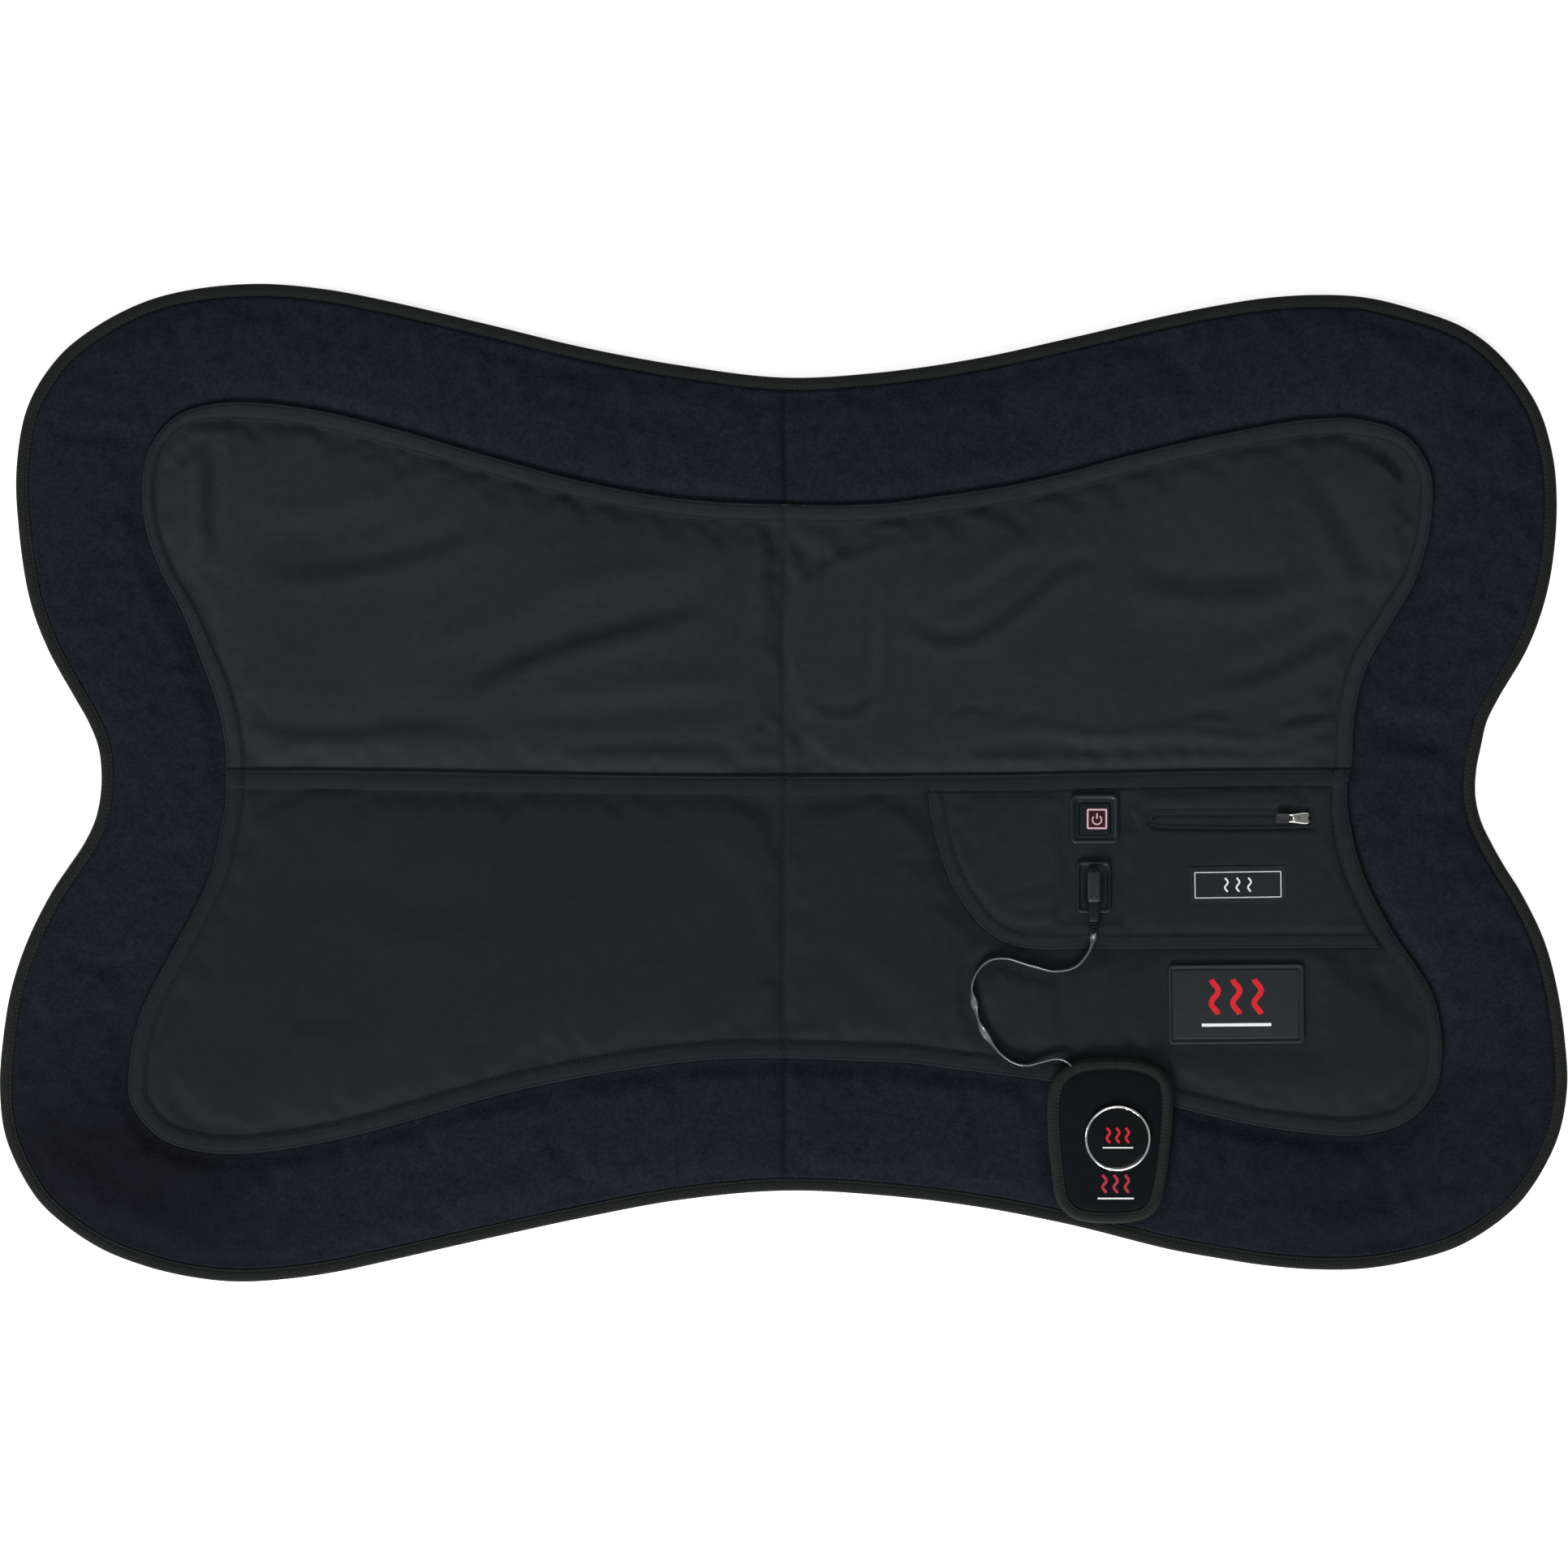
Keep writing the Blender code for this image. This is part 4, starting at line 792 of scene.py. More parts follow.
UPPER_CLOTH = woven("woven_upper", (0.0058, 0.0078, 0.0092), (0.0122, 0.0160, 0.0184), sheen=0.04)
LOWER_CLOTH = woven("woven_lower", (0.0040, 0.0056, 0.0069), (0.0082, 0.0112, 0.0134), sheen=0.04)
POCKET_CLOTH = woven("woven_pocket", (0.0043, 0.0059, 0.0070), (0.0088, 0.0118, 0.0136), sheen=0.04)
BORDER_MAT = loop_fabric("loop_border", (0.0022, 0.0028, 0.0043), (0.0090, 0.0112, 0.0166), (0.95, 0.74, 0.86))
TAPE_MAT = ribbed_tape("binding_tape", (0.0016, 0.0020, 0.0020), (0.0052, 0.0062, 0.0060))
HAND_TAPE = ribbed_tape("hand_binding_tape", (0.0022, 0.0030, 0.0026), (0.0066, 0.0086, 0.0072))
THREAD = thread("black_thread", (0.0085, 0.0095, 0.0105))
THREAD_DARK = thread("dark_thread", (0.0035, 0.0040, 0.0045))
HAND_FACE = plastic("hand_face_satin", (0.0016, 0.0026, 0.0036), 0.62, 0.06, 0.00003, 1500)
SOFT_BLACK = plastic("soft_touch_black", (0.0034, 0.0060, 0.0070), 0.54, 0.11)
TRAY_BLACK = plastic("socket_black", (0.0034, 0.0060, 0.0074), 0.36, 0.24, 0.00002)
PLUG_GREY = plastic("plug_overmold", (0.0072, 0.0090, 0.0108), 0.50, 0.26, 0.00004)
PLUG_DARK = plastic("plug_neck_rubber", (0.0028, 0.0036, 0.0046), 0.50, 0.12)
JACKET = plastic("cable_jacket", (0.060, 0.063, 0.066), 0.28, 0.85, 0.00001, Coat_Weight=0.7, Coat_Roughness=0.12)
CHROME = metal("bright_chrome", (0.82, 0.83, 0.84), 0.09)
STEEL = metal("plug_steel", (0.58, 0.58, 0.57), 0.28)
PULL_GREY = plastic("puller_grey", (0.014, 0.016, 0.018), 0.42, 0.34, 0.00005, 900)
ZIP_METAL = metal("zip_nickel", (0.40, 0.40, 0.38), 0.20)
COIL_BLACK = plastic("coil_black", (0.0060, 0.0070, 0.0078), 0.45, 0.22)
PUCK_BLACK = plastic("puck_gloss", (0.0020, 0.0024, 0.0028), 0.14, 0.18, 0.0)
PATCH_BLACK = plastic("patch_rubber", (0.0074, 0.0104, 0.0128), 0.50, 0.22, 0.00006, 1200)
PATCH_SLAB = plastic("patch_slab_rubber", (0.0138, 0.0172, 0.0220), 0.50, 0.20, 0.00006, 1200)
PRINT_WHITE = plastic("print_white", (0.62, 0.63, 0.63), 0.55, 0.3, 0.00003)
PRINT_RED = plastic("print_red", (0.46, 0.012, 0.018), 0.55, 0.12, 0.00003)
PRINT_RED_DIM = plastic("print_red_dim", (0.29, 0.022, 0.034), 0.55, 0.12, 0.00003)
PRINT_GREY = plastic("print_grey", (0.20, 0.21, 0.21), 0.55, 0.3, 0.00003)
ICON_GLOW = glow("icon_glow", (0.62, 0.38, 0.45), 0.86)
KEY_GLOW = plastic("key_dark_window", (0.020, 0.0052, 0.0068), 0.16, 0.25, 0.0)
LABEL_CLOTH = woven("label_satin", (0.0062, 0.0078, 0.0090), (0.0130, 0.0156, 0.0176), sheen=0.03)
LABEL_THREAD = thread("label_thread", (0.74, 0.76, 0.77))
FOAM_MAT = plastic("grey_foam", (0.060, 0.062, 0.066), 0.95, 0.05, 0.0006, 520)
LINING_MAT = woven("lining_cloth", (0.010, 0.011, 0.012), (0.021, 0.023, 0.025))
BOARD_WHITE = plastic("led_board_white", (0.46, 0.47, 0.46), 0.38, 0.4, 0.00003)
LENS = material("led_lens", (0.58, 0.34, 0.07), 0.12, 0.5, Coat_Weight=0.3)
FILM = material("clear_film", (0.93, 0.95, 0.96), 0.06, 0.5, Transmission_Weight=0.92, IOR=1.45)
CASE = plastic("case_plastic", (0.020, 0.021, 0.023), 0.42, 0.4, 0.00006)
PCB = plastic("board_green", (0.012, 0.065, 0.030), 0.35, 0.45, 0.00004)
WIRE_MAT = plastic("ribbon_wire", (0.16, 0.022, 0.020), 0.42, 0.4, 0.00003)
CELL = plastic("battery_wrap", (0.030, 0.075, 0.16), 0.30, 0.5, 0.00003)
ZIP_TAPE = woven("zip_tape_cloth", (0.0046, 0.0062, 0.0074), (0.0096, 0.0128, 0.0146), sheen=0.04)
for lens_like, sc in ((LENS, 700.0), (FILM, 160.0)):
    nn = Nodes(lens_like)
    v = nn.noise(sc, 2.0, 0.5)
    nn.rough(nn.span(v, 0.3, 0.7, 0.05, 0.16))
    nn.bump(v, 0.00006, 0.5)

# ----------------------------------------------------------------------------- camera, light, floor
scene = bpy.context.scene
cam_data = bpy.data.cameras.new("camera")
cam_data.sensor_width = 36.0
cam_data.lens = 36.0 * 2.995 / 0.9505
cam = bpy.data.objects.new("camera", cam_data)
cam.location = (0.00025, -0.00074, 3.0)
cam_data.clip_start, cam_data.clip_end = 0.05, 50
scene.collection.objects.link(cam)
scene.camera = cam

world = bpy.data.worlds.new("studio")
scene.world = world
world.use_nodes = True
world.node_tree.nodes["Background"].inputs[0].default_value = (1, 1, 1, 1)
world.node_tree.nodes["Background"].inputs[1].default_value = 0.36
scene.view_settings.view_transform = "Standard"
scene.view_settings.look = "None"


def area_light(name, where, aim, size_x, size_y, power, color=(1, 1, 1)):
    data = bpy.data.lights.new(name, "AREA")
    data.shape = "RECTANGLE"
    data.size, data.size_y, data.energy, data.color = size_x, size_y, power, color
    obj = bpy.data.objects.new(name, data)
    obj.location = where
    obj.rotation_euler = (Vector(aim) - Vector(where)).to_track_quat("-Z", "Y").to_euler()
    obj.visible_camera = False
    scene.collection.objects.link(obj)
    return obj


area_light("key", (-1.5, -4.6, 2.45), (0.0, 0.02, 0.0), 2.2, 1.3, 435)
area_light("front_fill", (0.9, -1.9, 2.2), (0.1, 0, 0.0), 1.6, 1.0, 26)
area_light("top_fill", (0.1, 1.9, 2.4), (0, 0, 0), 2.2, 1.1, 14)
area_light("side_left", (-3.6, 0.3, 1.7), (0.0, 0.05, 0), 1.2, 1.6, 34)

floor_mat = material("studio_floor", (0.86, 0.86, 0.86), 0.9, 0.1)
floor_mat.node_tree.nodes["Principled BSDF"].inputs["Emission Color"].default_value = (1, 1, 1, 1)
floor_mat.node_tree.nodes["Principled BSDF"].inputs["Emission Strength"].default_value = 0.55
fn = Nodes(floor_mat)
fn.color(fn.mix(fn.noise(3.0, 2.0, 0.5), (0.855, 0.855, 0.855), (0.87, 0.87, 0.87)))
bm = bmesh.new()
bmesh.ops.create_grid(bm, x_segments=8, y_segments=8, size=6.0)
for v in bm.verts:
    v.co.z = -0.0002
floor_mesh = bpy.data.meshes.new("studio_floor")
bm.to_mesh(floor_mesh)
bm.free()
floor_mesh.materials.append(floor_mat)
floor = bpy.data.objects.new("studio_floor", floor_mesh)
scene.collection.objects.link(floor)

# ----------------------------------------------------------------------------- the long lines
edge = anticlockwise(curve(EDGE, True, 2.4))
SHIFT = (edge.min(0) + edge.max(0)) / 2
edge = edge - SHIFT
cover = anticlockwise(curve(COVER_TOP + COVER_BOTTOM, True, 2.6))
L_EDGE, L_COVER = Line(edge, True), Line(cover, True)
flap = curve(POCKET_FLAP, False, 2.0)
hemside = curve(POCKET_HEM, False, 2.0)
L_FLAP = Line(np.vstack([flap, even(np.array([flap[-1], hemside[0]]), False, 2.0)]), False)
hand = anticlockwise(curve(HAND_EDGE, True, 1.5))
L_HAND = Line(hand, True, 0.6)
cable_path = curve(CABLE, False, 1.0)
L_CABLE = Line(cable_path[:, :2], False, 0.8)


def seam_top(x):
    """Height of the spine seam's folded edge: it dips towards the middle."""
    return 4.9 + 3.6 * smooth(20, 330, np.abs(x)) - 0.5 * bump(x, 150, 60)


SEAM_W = 10.2


def hem_width(P):
    """Width of the cover's turned hem, from its edge to the inner row of stitches."""
    x, y = P[:, 0], P[:, 1]
    w = 9.7 - 3.3 * smooth(-330, -374, x) * smooth(20, 90, y)
    w = w - 2.7 * smooth(345, 385, x) * smooth(20, 90, y)
    w = w - 1.4 * smooth(350, 385, x) * smooth(-20, -90, y)
    return w + 0.18 * noise2(P, 40.0, 21)


# ----------------------------------------------------------------------------- cloth that lies on the foam
LAT = 7.0


def drape():
    """The sheet of cloth between its rows of stitches, a little too big for its place: the wrinkles it takes."""
    nx, ny = int(980 / LAT) + 1, int(640 / LAT) + 1
    X, Y = np.meshgrid(-490 + LAT * np.arange(nx), -320 + LAT * np.arange(ny))
    P = np.column_stack([X.ravel(), Y.ravel()])
    de = L_EDGE.near(P)[0]
    field = np.zeros(len(P))
    keep = de > 1.0
    dc = L_COVER.near(P)[0]
    seam = P[:, 1] - seam_top(P[:, 0])
    held = (de < 11) | ((dc > -4.5) & (dc < 13)) | ((seam > -13) & (seam < 3) & (dc > 0))
    held |= (L_FLAP.near(P)[2] < 6) | ((np.abs(P[:, 0] - 188) < 18) & (P[:, 1] < 0) & (P[:, 1] > -84))
    held |= (np.abs(P[:, 0]) < 3.6)
    idx = np.full(len(P), -1)
    idx[keep] = np.arange(keep.sum())
    G = np.arange(len(P)).reshape(ny, nx)
    quads = np.stack([G[:-1, :-1], G[:-1, 1:], G[1:, 1:], G[1:, :-1]], -1).reshape(-1, 4)
    quads = quads[keep[quads].all(1)]
    start = 0.35 * noise2(P, 46.0, 11) + 0.25 * noise2(P, 19.0, 12)
    start[held] = 0
    V = np.column_stack([P, start])[keep] * MM
    mesh = bpy.data.meshes.new("drape")
    mesh.from_pydata(V.tolist(), [], idx[quads].tolist())
    obj = bpy.data.objects.new("drape", mesh)
    scene.collection.objects.link(obj)
    group = obj.vertex_groups.new(name="held")
    group.add([int(i) for i in idx[keep & held]], 1.0, "REPLACE")
    mod = obj.modifiers.new("cloth", "CLOTH")
    st = mod.settings
    st.quality = 5
    st.mass = 0.25
    st.tension_stiffness = st.compression_stiffness = 18
    st.shear_stiffness = 8
    st.bending_stiffness = 0.35
    st.shrink_min = -0.012
    st.vertex_group_mass = "held"
    st.effector_weights.gravity = -0.06
    mod.collision_settings.use_collision = False
    scene.frame_start, scene.frame_end = 1, 22
    mod.point_cache.frame_end = 22
    for f in range(1, 23):
        scene.frame_set(f)
    ev = obj.evaluated_get(bpy.context.evaluated_depsgraph_get())
    co = np.zeros(len(mesh.vertices) * 3)
    ev.data.vertices.foreach_get("co", co)
    z = co.reshape(-1, 3)[:, 2] / MM
    scene.frame_set(1)
    bpy.data.objects.remove(obj, do_unlink=True)
    field[keep] = np.nan_to_num(z)
    field[held] = 0
    return np.clip(field, -2.5, 4.0).reshape(ny, nx)


def cubic(field, x0, y0, s, P):
    """Smooth (Catmull-Rom) reading of a lattice of values at the points."""
    ny, nx = field.shape
    u, v = (P[:, 0] - x0) / s, (P[:, 1] - y0) / s
    i, j = np.floor(u).astype(int), np.floor(v).astype(int)
    fu, fv = u - i, v - j

    def w(t):
        return [-0.5 * t + t * t - 0.5 * t ** 3, 1 - 2.5 * t * t + 1.5 * t ** 3,
                0.5 * t + 2 * t * t - 1.5 * t ** 3, -0.5 * t * t + 0.5 * t ** 3]

    wu, wv = w(fu), w(fv)
    out = np.zeros(len(P))
    for b in range(4):
        jj = np.clip(j + b - 1, 0, ny - 1)
        row = np.zeros(len(P))
        for a in range(4):
            row += wu[a] * field[jj, np.clip(i + a - 1, 0, nx - 1)]
        out += wv[b] * row
    return out


DRAPE = drape()


def wrinkles(P, which, scale=1.0):
    """Simulated wrinkles and the drawn folds of one panel, before the stitches hold them down."""
    h = scale * np.clip(cubic(DRAPE, -490, -320, LAT, P), -1.2, 2.6)
    for line, w, depth, panel in FOLDS:
        if panel != which:
            continue
        q = curve(line, False, 6.0)
        lo, hi = q.min(0) - 3 * w, q.max(0) + 3 * w
        near = np.where((P[:, 0] > lo[0]) & (P[:, 0] < hi[0]) & (P[:, 1] > lo[1]) & (P[:, 1] < hi[1]))[0]
        if not len(near):
            continue
        L = Line(q, False, 1.5)
        n, s, d = L.near(P[near])
        # the far side lies up the page, or to the right where the fold runs up it
        t = q[-1] - q[0]
        away = np.array([0.45, 0.9])
        sign = 1.0 if (-t[1] * away[0] + t[0] * away[1]) > 0 else -1.0
        u = s / L.length
        fade = smooth(-0.02, 0.3, u) * smooth(1.02, 0.7, u) * np.exp(-np.clip(d * d - n * n, 0, None) / (w * w))
        x = sign * n / w
        steep = abs(t[1]) / (np.linalg.norm(t) + 1e-6)
        h[near] += -(1.20 + 0.35 * steep) * depth * x * np.exp(-x * x) * fade
    return h


def crease(P, depth=0.9):
    """The fold line down the middle: a shallow valley beside a low ridge."""
    x = P[:, 0] - 0.6 + 0.6 * noise2(P, 60, 31)
    return -depth * bump(x, 0, 1.7) + 0.35 * depth * bump(x, 5.5, 4.0) + 0.2 * depth * bump(x, -6, 4.5)


def press(P, z, soft=6.0):
    """Keeps the cloth clear of the hand pad and the cable that lie on it."""
    n = L_HAND.near(P)[0]
    z = np.where(n > -soft, np.minimum(z, 7.75 + 1.6 * smooth(0, -soft, n)), z)
    d = L_CABLE.near(P)[2]
    return np.where(d < 9, np.minimum(z, 7.95 + 1.2 * smooth(2.5, 9, d)), z)


def rings(loop, distances, scale=None):
    """Points along the loop moved inwards by each distance."""
    out = []
    for d in distances:
        out.append(offset(loop, d if scale is None else scale(d)))
    return out


# border fabric: from under the binding to under the cover's hem
def border_top(P):
    de, dc = L_EDGE.near(P)[0], L_COVER.near(P)[0]
    z = 6.55 + 1.15 * smooth(6.6, 9.0, de) + 0.9 * smooth(9, 26, de)
    z = z - 0.55 * bump(de, 7.9, 0.7)
    h = wrinkles(P, 3, 0.7) + 0.35 * noise2(P, 55, 41) + 0.18 * noise2(P, 17, 42) + 0.07 * noise2(P, 5.0, 43)
    z = z + h * smooth(8, 17, de) * smooth(-2, -12, dc)
    z = z + crease(P, 1.0) * smooth(9, 16, de)
    z = np.where(dc > -11, np.minimum(z, 6.55 + (z - 6.55) * smooth(-1.0, -11, dc)), z)
    z = np.where(dc > -0.5, 6.55, z)
    return press(P, z)


core = offset(edge, 1.0)
inner = offset(cover, HEM_LAP)
inner = even(np.vstack([inner, inner[:1]]), True, 4.0)
extra = np.vstack(rings(edge, [4.0, 6.6, 7.3, 7.9, 8.6, 9.6, 11.2]) + rings(cover, [-0.6, -1.6, -3.0, -5.0]) +
                  [np.array([[x, y] for x in (-9, -6, -3.4, -1.6, -0.4, 0.8, 2.2, 4.2, 7, 10) for y in np.arange(-246, 246, 3.0)])])
border = sheet_piece("border_fabric", [core, anticlockwise(inner)], extra, 3.3, border_top, 0, BORDER_MAT,
                     bottom=lambda P: 1.15 + 0 * P[:, 0])

# ----------------------------------------------------------------------------- cover panels
pocket_line = np.vstack([flap, even(np.array([flap[-1], hemside[0]]), False, 2.0)[1:-1], hemside])
pocket_region = anticlockwise(np.vstack([pocket_line, [(332.6, 0.0), (88.0, 0.0)]]))
L_POCKET = Line(pocket_region, True)
L_HEMSIDE = Line(hemside, False)
well = np.array([(WELL[0], WELL[2]), (WELL[1], WELL[2]), (WELL[1], WELL[3]), (WELL[0], WELL[3])], float)
well = even(np.vstack([well, well[:1]]), True, 4.0)


def part_of(loop, f, keep):
    """The part of the loop above (keep 1) or below (keep -1) the line y = f(x), closed along that line."""
    side = (loop[:, 1] - f(loop[:, 0])) * keep > 0.6
    start = next(i for i in range(len(loop)) if side[i] and not side[i - 1])
    run = np.roll(loop, -start, axis=0)[np.roll(side, -start)]
    xs = np.linspace(run[-1, 0], run[0, 0], int(abs(run[-1, 0] - run[0, 0]) / 2.6))[1:-1]
    ends = [run[-1, 0], run[0, 0]]
    xs = np.concatenate([[ends[0]], xs, [ends[1]]])
    line = np.column_stack([xs, f(xs)])
    return np.vstack([run, line])


def hem(P, d, w):
    """Height of the turned hem over the panel's own level, d from its edge; the cloth beyond is level 0."""
    z = -0.75 + 1.5 * np.sqrt(np.clip(1 - np.clip(1 - d / 0.95, 0, 1) ** 2, 0, 1))
    z = z - 0.34 * bump(d, 1.55, 0.42) + 0.30 * bump(d, w * 0.52, w * 0.26)
    z = z - 0.52 * bump(d, w, 0.55)
    z = z - 0.75 * smooth(w + 0.15, w + 1.3, d) - 0.18 * bump(d, w + 2.4, 1.5)
    return z + 0.13 * noise2(P, 5.5, 51) * bump(d, w * 0.5, w * 0.45) + 0.10 * noise2(P, 3.2, 52) * bump(d, w + 1.5, 2.5)


def cloth_level(P, which, d, w):
    """Loose cloth inside a hem: gentle crown over the foam, wrinkles, grain of the lie."""
    z = 1.25 * smooth(w + 1, w + 42, d) + 0.28 * noise2(P, 62, 61) + 0.20 * noise2(P, 24, 62) + 0.07 * noise2(P, 8.5, 63)
    return z * smooth(w + 0.8, w + 9, d)


def upper_top(P):
    d, w = L_COVER.near(P)[0], hem_width(P)
    e = P[:, 1] - seam_top(P[:, 0])
    hold = smooth(w + 0.6, w + 5.5, d) * smooth(0.0, 5.5, e)
    z = 7.72 + hem(P, d, w) + cloth_level(P, 0, d, w) * smooth(-1, 16, e) + wrinkles(P, 0) * hold
    z = z + crease(P, 0.95) * smooth(0.5, 2, d) * smooth(-1, 3, e)
    z = z - 0.25 * bump(e, 0.6, 1.4)
    z = np.where(e < 0.2, np.minimum(z, 7.55), z)
    return np.maximum(z, 7.35)


def seam_band(P, e):
    z = -0.1 + 1.25 * np.sqrt(np.clip(1 - np.clip(1 - e / 0.95, 0, 1) ** 2, 0, 1))
    z = z - 0.36 * bump(e, 2.3, 0.5) + 0.22 * bump(e, 6.0, 2.6) - 0.48 * bump(e, SEAM_W, 0.55)
    z = z - 1.15 * smooth(SEAM_W + 0.1, SEAM_W + 1.4, e) - 0.12 * bump(e, SEAM_W + 2.6, 1.5)
    return z + 0.10 * noise2(P, 5.0, 55) * bump(e, 6, 3.5)


def lower_top(P):
    d, w = L_COVER.near(P)[0], hem_width(P)
    e = seam_top(P[:, 0]) - P[:, 1]
    n, _, far = L_POCKET.near(P)
    hold = smooth(w + 0.6, w + 5.5, d) * smooth(SEAM_W + 0.5, SEAM_W + 7, e)
    z = 7.72 + cloth_level(P, 1, d, w) * smooth(SEAM_W, SEAM_W + 22, e) * 0.8 + wrinkles(P, 1, 0.75) * hold
    hz = hem(P, d, w)
    band = seam_band(P, e)
    z = z + hz + band * np.where(d < w, 0.55, 0.55 + 0.45 * smooth(w, w + 3, d))
    z = z + crease(P, 0.9) * smooth(0.5, 2, d) * smooth(0.5, 2, e)
    under = (n > 0) & (e > SEAM_W)
    z = np.where(under, 7.5, z)
    z = np.where((n <= 0) & (far < 9), 7.6 + (z - 7.6) * smooth(0.0, 9, far), z) if True else z
    z = np.where((far < 9) & (n <= 0) & ((d < w + 1) | (e < SEAM_W + 0.5)), 7.72 + hz + band * 0.8, z)
    # the moulded patch is sewn down flat
    pd = np.hypot(np.maximum(np.abs(P[:, 0] - 274) - 41.6, 0), np.maximum(np.abs(P[:, 1] + 134) - 24.8, 0))
    z = np.where(pd < 12, np.minimum(z, 7.86 + 1.7 * smooth(0.4, 12, pd)), z)
    return press(P, np.maximum(z, 7.35))


HEM_RINGS = [0.32, 0.7, 1.1, 1.55, 2.0, 2.7]
hw_loop = hem_width(cover)
hem_pts = rings(cover, HEM_RINGS)
for k in (0.38, 0.55, 0.72):
    hem_pts.append(offset(cover, hw_loop * k))
for k in (-1.1, -0.5, 0.0, 0.5, 1.1, 1.9, 3.0):
    hem_pts.append(offset(cover, hw_loop + k))
xs = np.arange(-342, 346, 2.6)
seam_pts = [np.column_stack([xs, seam_top(xs) - e]) for e in
            (0.3, 0.7, 1.2, 1.8, 2.3, 2.8, 3.8, 5.4, 7.2, 8.7, 9.6, 10.2, 10.8, 11.6, 12.8)]
above_pts = [np.column_stack([xs, seam_top(xs) + e]) for e in (0.6, 1.5, 2.8, 4.4)]
fold_pts = [np.array([[x, y] for x in (-9, -6.5, -4.2, -2.6, -1.3, -0.3, 0.7, 1.8, 3.1, 4.8, 7, 9.5)
                      for y in np.arange(-168, 170, 2.6)])]

upper_loop = part_of(cover, lambda x: seam_top(x) - 7.5, 1)
upper = sheet_piece("upper_cover_cloth", [upper_loop], np.vstack(hem_pts + above_pts + fold_pts), 2.9, upper_top, 0.62,
                    UPPER_CLOTH)
lower_loop = part_of(cover, seam_top, -1)
lower = sheet_piece("lower_cover_cloth", [lower_loop, well], np.vstack(hem_pts + seam_pts + fold_pts), 3.0, lower_top, 0.62,
                    LOWER_CLOTH, bottom=lambda P: np.where(seam_top(P[:, 0]) - P[:, 1] < 8.0, lower_top(P) - 0.75,
                                                           np.minimum(lower_top(P) - 0.62, 7.1)))

# ----------------------------------------------------------------------------- pocket panel
def slit_loop(grow=0.0):
    top = [(x, -18.0 + grow + 0.35 * math.sin((x - 224) / 96 * math.pi)) for x in np.linspace(320, 224, 40)]
    low = [(x, -25.1 - grow - 1.0 * math.sin((x - 224) / 96 * math.pi) ** 0.8) for x in np.linspace(224, 320, 40)]
    pts = top + ([(223.8 - grow, -21.0)] if grow == 0 else [(224 - grow, -19.0), (224 - grow, -24.0)]) + low
    return np.array(pts + [(320.3 + grow, -21.4)])


slit = anticlockwise(even(np.vstack([slit_loop(), slit_loop()[:1]]), True, 1.8))
L_SLIT = Line(slit, True, 0.5)
bezel_hole = rr(BUTTON_C[0], BUTTON_C[1], 20.4, 21.2, 1.5, 3, 8)
port_hole = rr(SOCKET_C[0], SOCKET_C[1], 6.0, 12.4, 0.8, 2, 3)
xs = np.linspace(332.4, 87.6, 100)
pocket_top_line = np.column_stack([xs, seam_top(xs) - SEAM_W - 0.1])
side_line = hemside[hemside[:, 1] < pocket_top_line[0, 1] - 1]
flap_line = flap[flap[:, 1] < pocket_top_line[-1, 1] - 1]
pocket_outline = anticlockwise(np.vstack([flap_line, even(np.array([flap[-1], hemside[0]]), False, 2.0)[1:-1],
                                          side_line, pocket_top_line]))
pocket_low = Line(np.vstack([flap, even(np.array([flap[-1], hemside[0]]), False, 2.0)[1:]]), False, 0.8)
PW = 8.0


def pocket_top(P):
    n = np.abs(pocket_low.near(P)[0])
    s = L_HEMSIDE.near(P)[2]
    e = seam_top(P[:, 0]) - P[:, 1] - SEAM_W
    z = 8.32 + 0.52 * np.sqrt(np.clip(1 - np.clip(1 - n / 0.9, 0, 1) ** 2, 0, 1))
    z = z - 0.24 * bump(n, 1.5, 0.4) + 0.16 * bump(n, 4.6, 2.0) - 0.42 * bump(n, PW, 0.5)
    z = z - 0.50 * smooth(PW + 0.1, PW + 1.2, n)
    bx = np.maximum(np.abs(P[:, 0] - 188) - 15, 0)
    by = np.maximum(np.abs(P[:, 1] + 42.5) - 36.5, 0)
    hard = np.hypot(bx, by)
    sl = -L_SLIT.near(P)[0]
    lab = np.hypot(np.maximum(np.abs(P[:, 0] - 275) - 30, 0), np.maximum(np.abs(P[:, 1] + 61.7) - 11.5, 0))
    hold = smooth(PW + 0.8, PW + 6, n) * smooth(0.5, 5, s) * smooth(0.8, 6, e) * smooth(0, 7, hard) * smooth(1.5, 6, sl)
    fold = wrinkles(P, 2, 0.6) * hold + 0.14 * noise2(P, 21, 71) * hold + 0.05 * noise2(P, 7.0, 72)
    z = z + fold * (0.25 + 0.75 * smooth(0, 6, lab)) + 0.55 * hold * smooth(0, 25, hard)
    z = z - 0.50 * (1 - smooth(0.0, 1.8, e)) - 0.45 * (1 - smooth(0.0, 1.6, s))
    z = z + 0.30 * bump(sl, 0.9, 0.7) - 0.22 * bump(sl, 2.3, 0.4) + 0.10 * bump(sl, 3.4, 0.9)
    d = L_CABLE.near(P)[2]
    return np.where((d < 8) & (P[:, 1] < -88), np.minimum(z, 8.45), np.minimum(z, 9.6))


